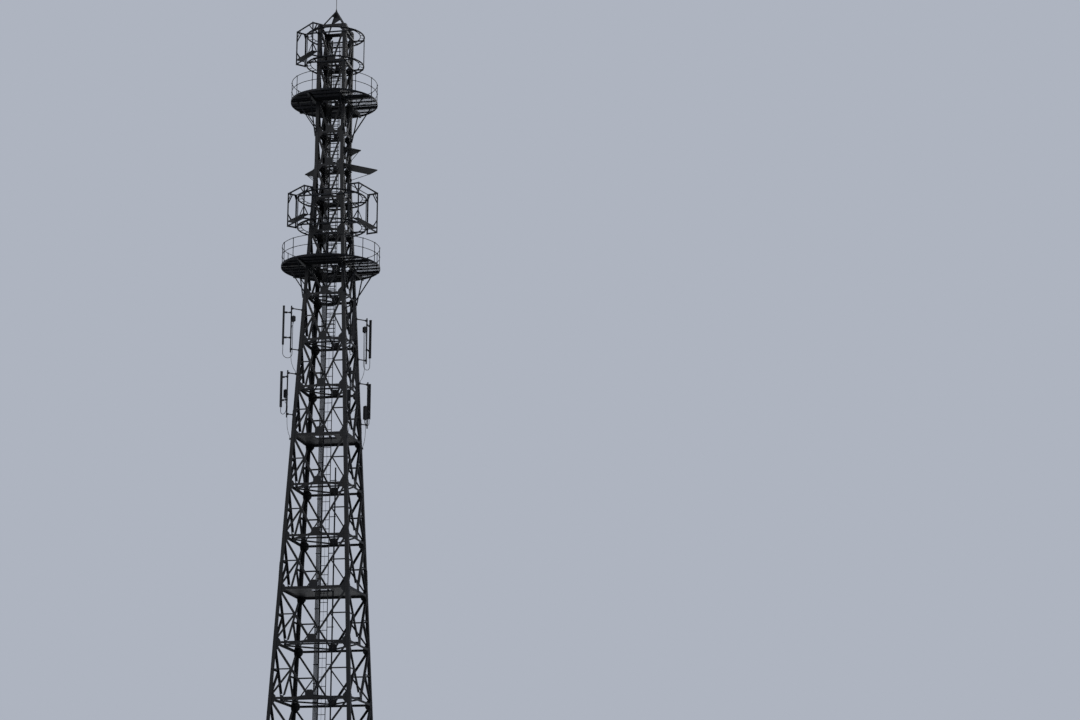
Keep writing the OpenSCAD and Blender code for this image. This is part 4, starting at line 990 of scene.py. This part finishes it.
def flat_between(place, p, q, width, inset):
    """A flat bar from p to q, which are in the place's XZ plane or beside it."""
    p, q = Vector(p), Vector(q)
    along = (q - p).normalized()
    side = Vector((-along.z, 0, along.x)) * width / 2
    start, end = p + along * inset, q - along * inset
    flats.prism([(c.x, c.z) for c in (start - side, end - side, end + side, start + side)], FRAME_FLAT_T,
                place @ moved(0, FRAME_FLAT_T / 2 + p.y, 0) @ turned(90, "X"))


for turn, z, gap, r, w, extra in SECTOR_FRAMES:
    x0, x1 = inner_post_x(r, w), r + FRAME_OUT
    d, high, low = x1 - x0, z + FRAME_OVER + extra, z - gap - FRAME_UNDER - extra
    floor = low + FRAME_FLOOR
    side, front = turned(turn), turned(turn) @ moved(x1, 0, 0) @ turned(90)
    rails = (high - RAIL_FLAT_W / 2, low + RAIL_FLAT_W / 2)
    for s in (-1, 1):
        y = s * w / 2
        for x, reach, start, end in (
                (x1, -d / 2, high - OUTER_KNEE, high), (x0, d / 4, high - INNER_KNEE, high),
                (x1, -d / 2, floor + FLOOR_KNEE, floor), (x0, d / 4, floor + INNER_KNEE, floor)):
            flat_between(side, (x, y, start), (x + reach, y, end), KNEE_FLAT_W, KNEE_INSET)
        for x, width in ((x1 - POST_FLAT_IN, POST_FLAT_W), (x0 + INNER_FLAT_OUT, INNER_FLAT_W)):
            flat_between(side, (x, y, low), (x, y, high), width, LONG_INSET)
        for h in rails:
            flat_between(side, (x0, y, h), (x1, y, h), RAIL_FLAT_W, LONG_INSET)
        for start, end in ((high - FRONT_KNEE, high), (floor + FRONT_KNEE, floor)):
            flat_between(front, (y, 0, start), (y - s * FRONT_KNEE, 0, end), KNEE_FLAT_W, KNEE_INSET)
    for h in rails:
        flat_between(front, (-w / 2, 0, h), (w / 2, 0, h), RAIL_FLAT_W, LONG_INSET)
flats.finish("frame_knee_flats", "pipe_steel")

# Bolts of the knee braces and of the platforms' beams
for z, drop in ((LOWER_DECK_Z, LOWER_DECK_Z - NECK_Z), (UPPER_DECK_Z, MID_PANEL)):
    beam = half_w(z - DECK_T - SEAT - BEAM_H) + SEAT
    for q in range(4):
        forward, foot_z = side_facing(q, (0, -1, 0)), z - drop - (q % 2) * KNEE_STAGGER
        for s in (-1, 1):
            at = Vector((s * (half_w(foot_z) - LEG_W / 2), -half_w(foot_z - KNEE_W) - SEAT - KNEE_W, foot_z))
            small.append((turned(90 * q) @ at, forward, (0.9,) * 3))
            for x in (-0.020, 0.020):
                at = Vector((s * (beam - LEG_W / 2 + x), -beam - 0.064, z - DECK_T - 0.040))
                small.append((turned(90 * q) @ at, forward, ONE))

# Bolts of the cap, on the plate at each corner
for q in range(4):
    for x, y in ((0.020, 0.020), (0.110, 0.020), (0.020, 0.110), (0.110, 0.110)):
        at = Vector((TOP_W / 2 - x, TOP_W / 2 - y, SHAFT_H + SEAT + 0.008))
        small.append((turned(90 * q) @ at, NO_TURN, (0.8,) * 3))

# Bolts of the saddles, through both flanges of the leg
for a in ANTENNAS:
    top = ROWS[a[1]][0]
    for z in (top - ARM_BELOW, top - POLE_H + ARM_ABOVE):
        corner = half_w(z - SADDLE_H / 2) + SEAT + SADDLE_T
        for dz in (-0.018, 0.018):
            for inner in (corner - SADDLE_T - 0.020, corner - SADDLE_T - 0.060):
                for x, y, normal in ((corner, inner, (1, 0, 0)), (inner, corner, (0, 1, 0))):
                    at = turned(90 * a[0]) @ Vector((x, y, z + dz))
                    small.append((at, side_facing(a[0], normal), (0.6,) * 3))
scatter("clamp_bolts", BOLT, small, "platform_steel", ZINC)
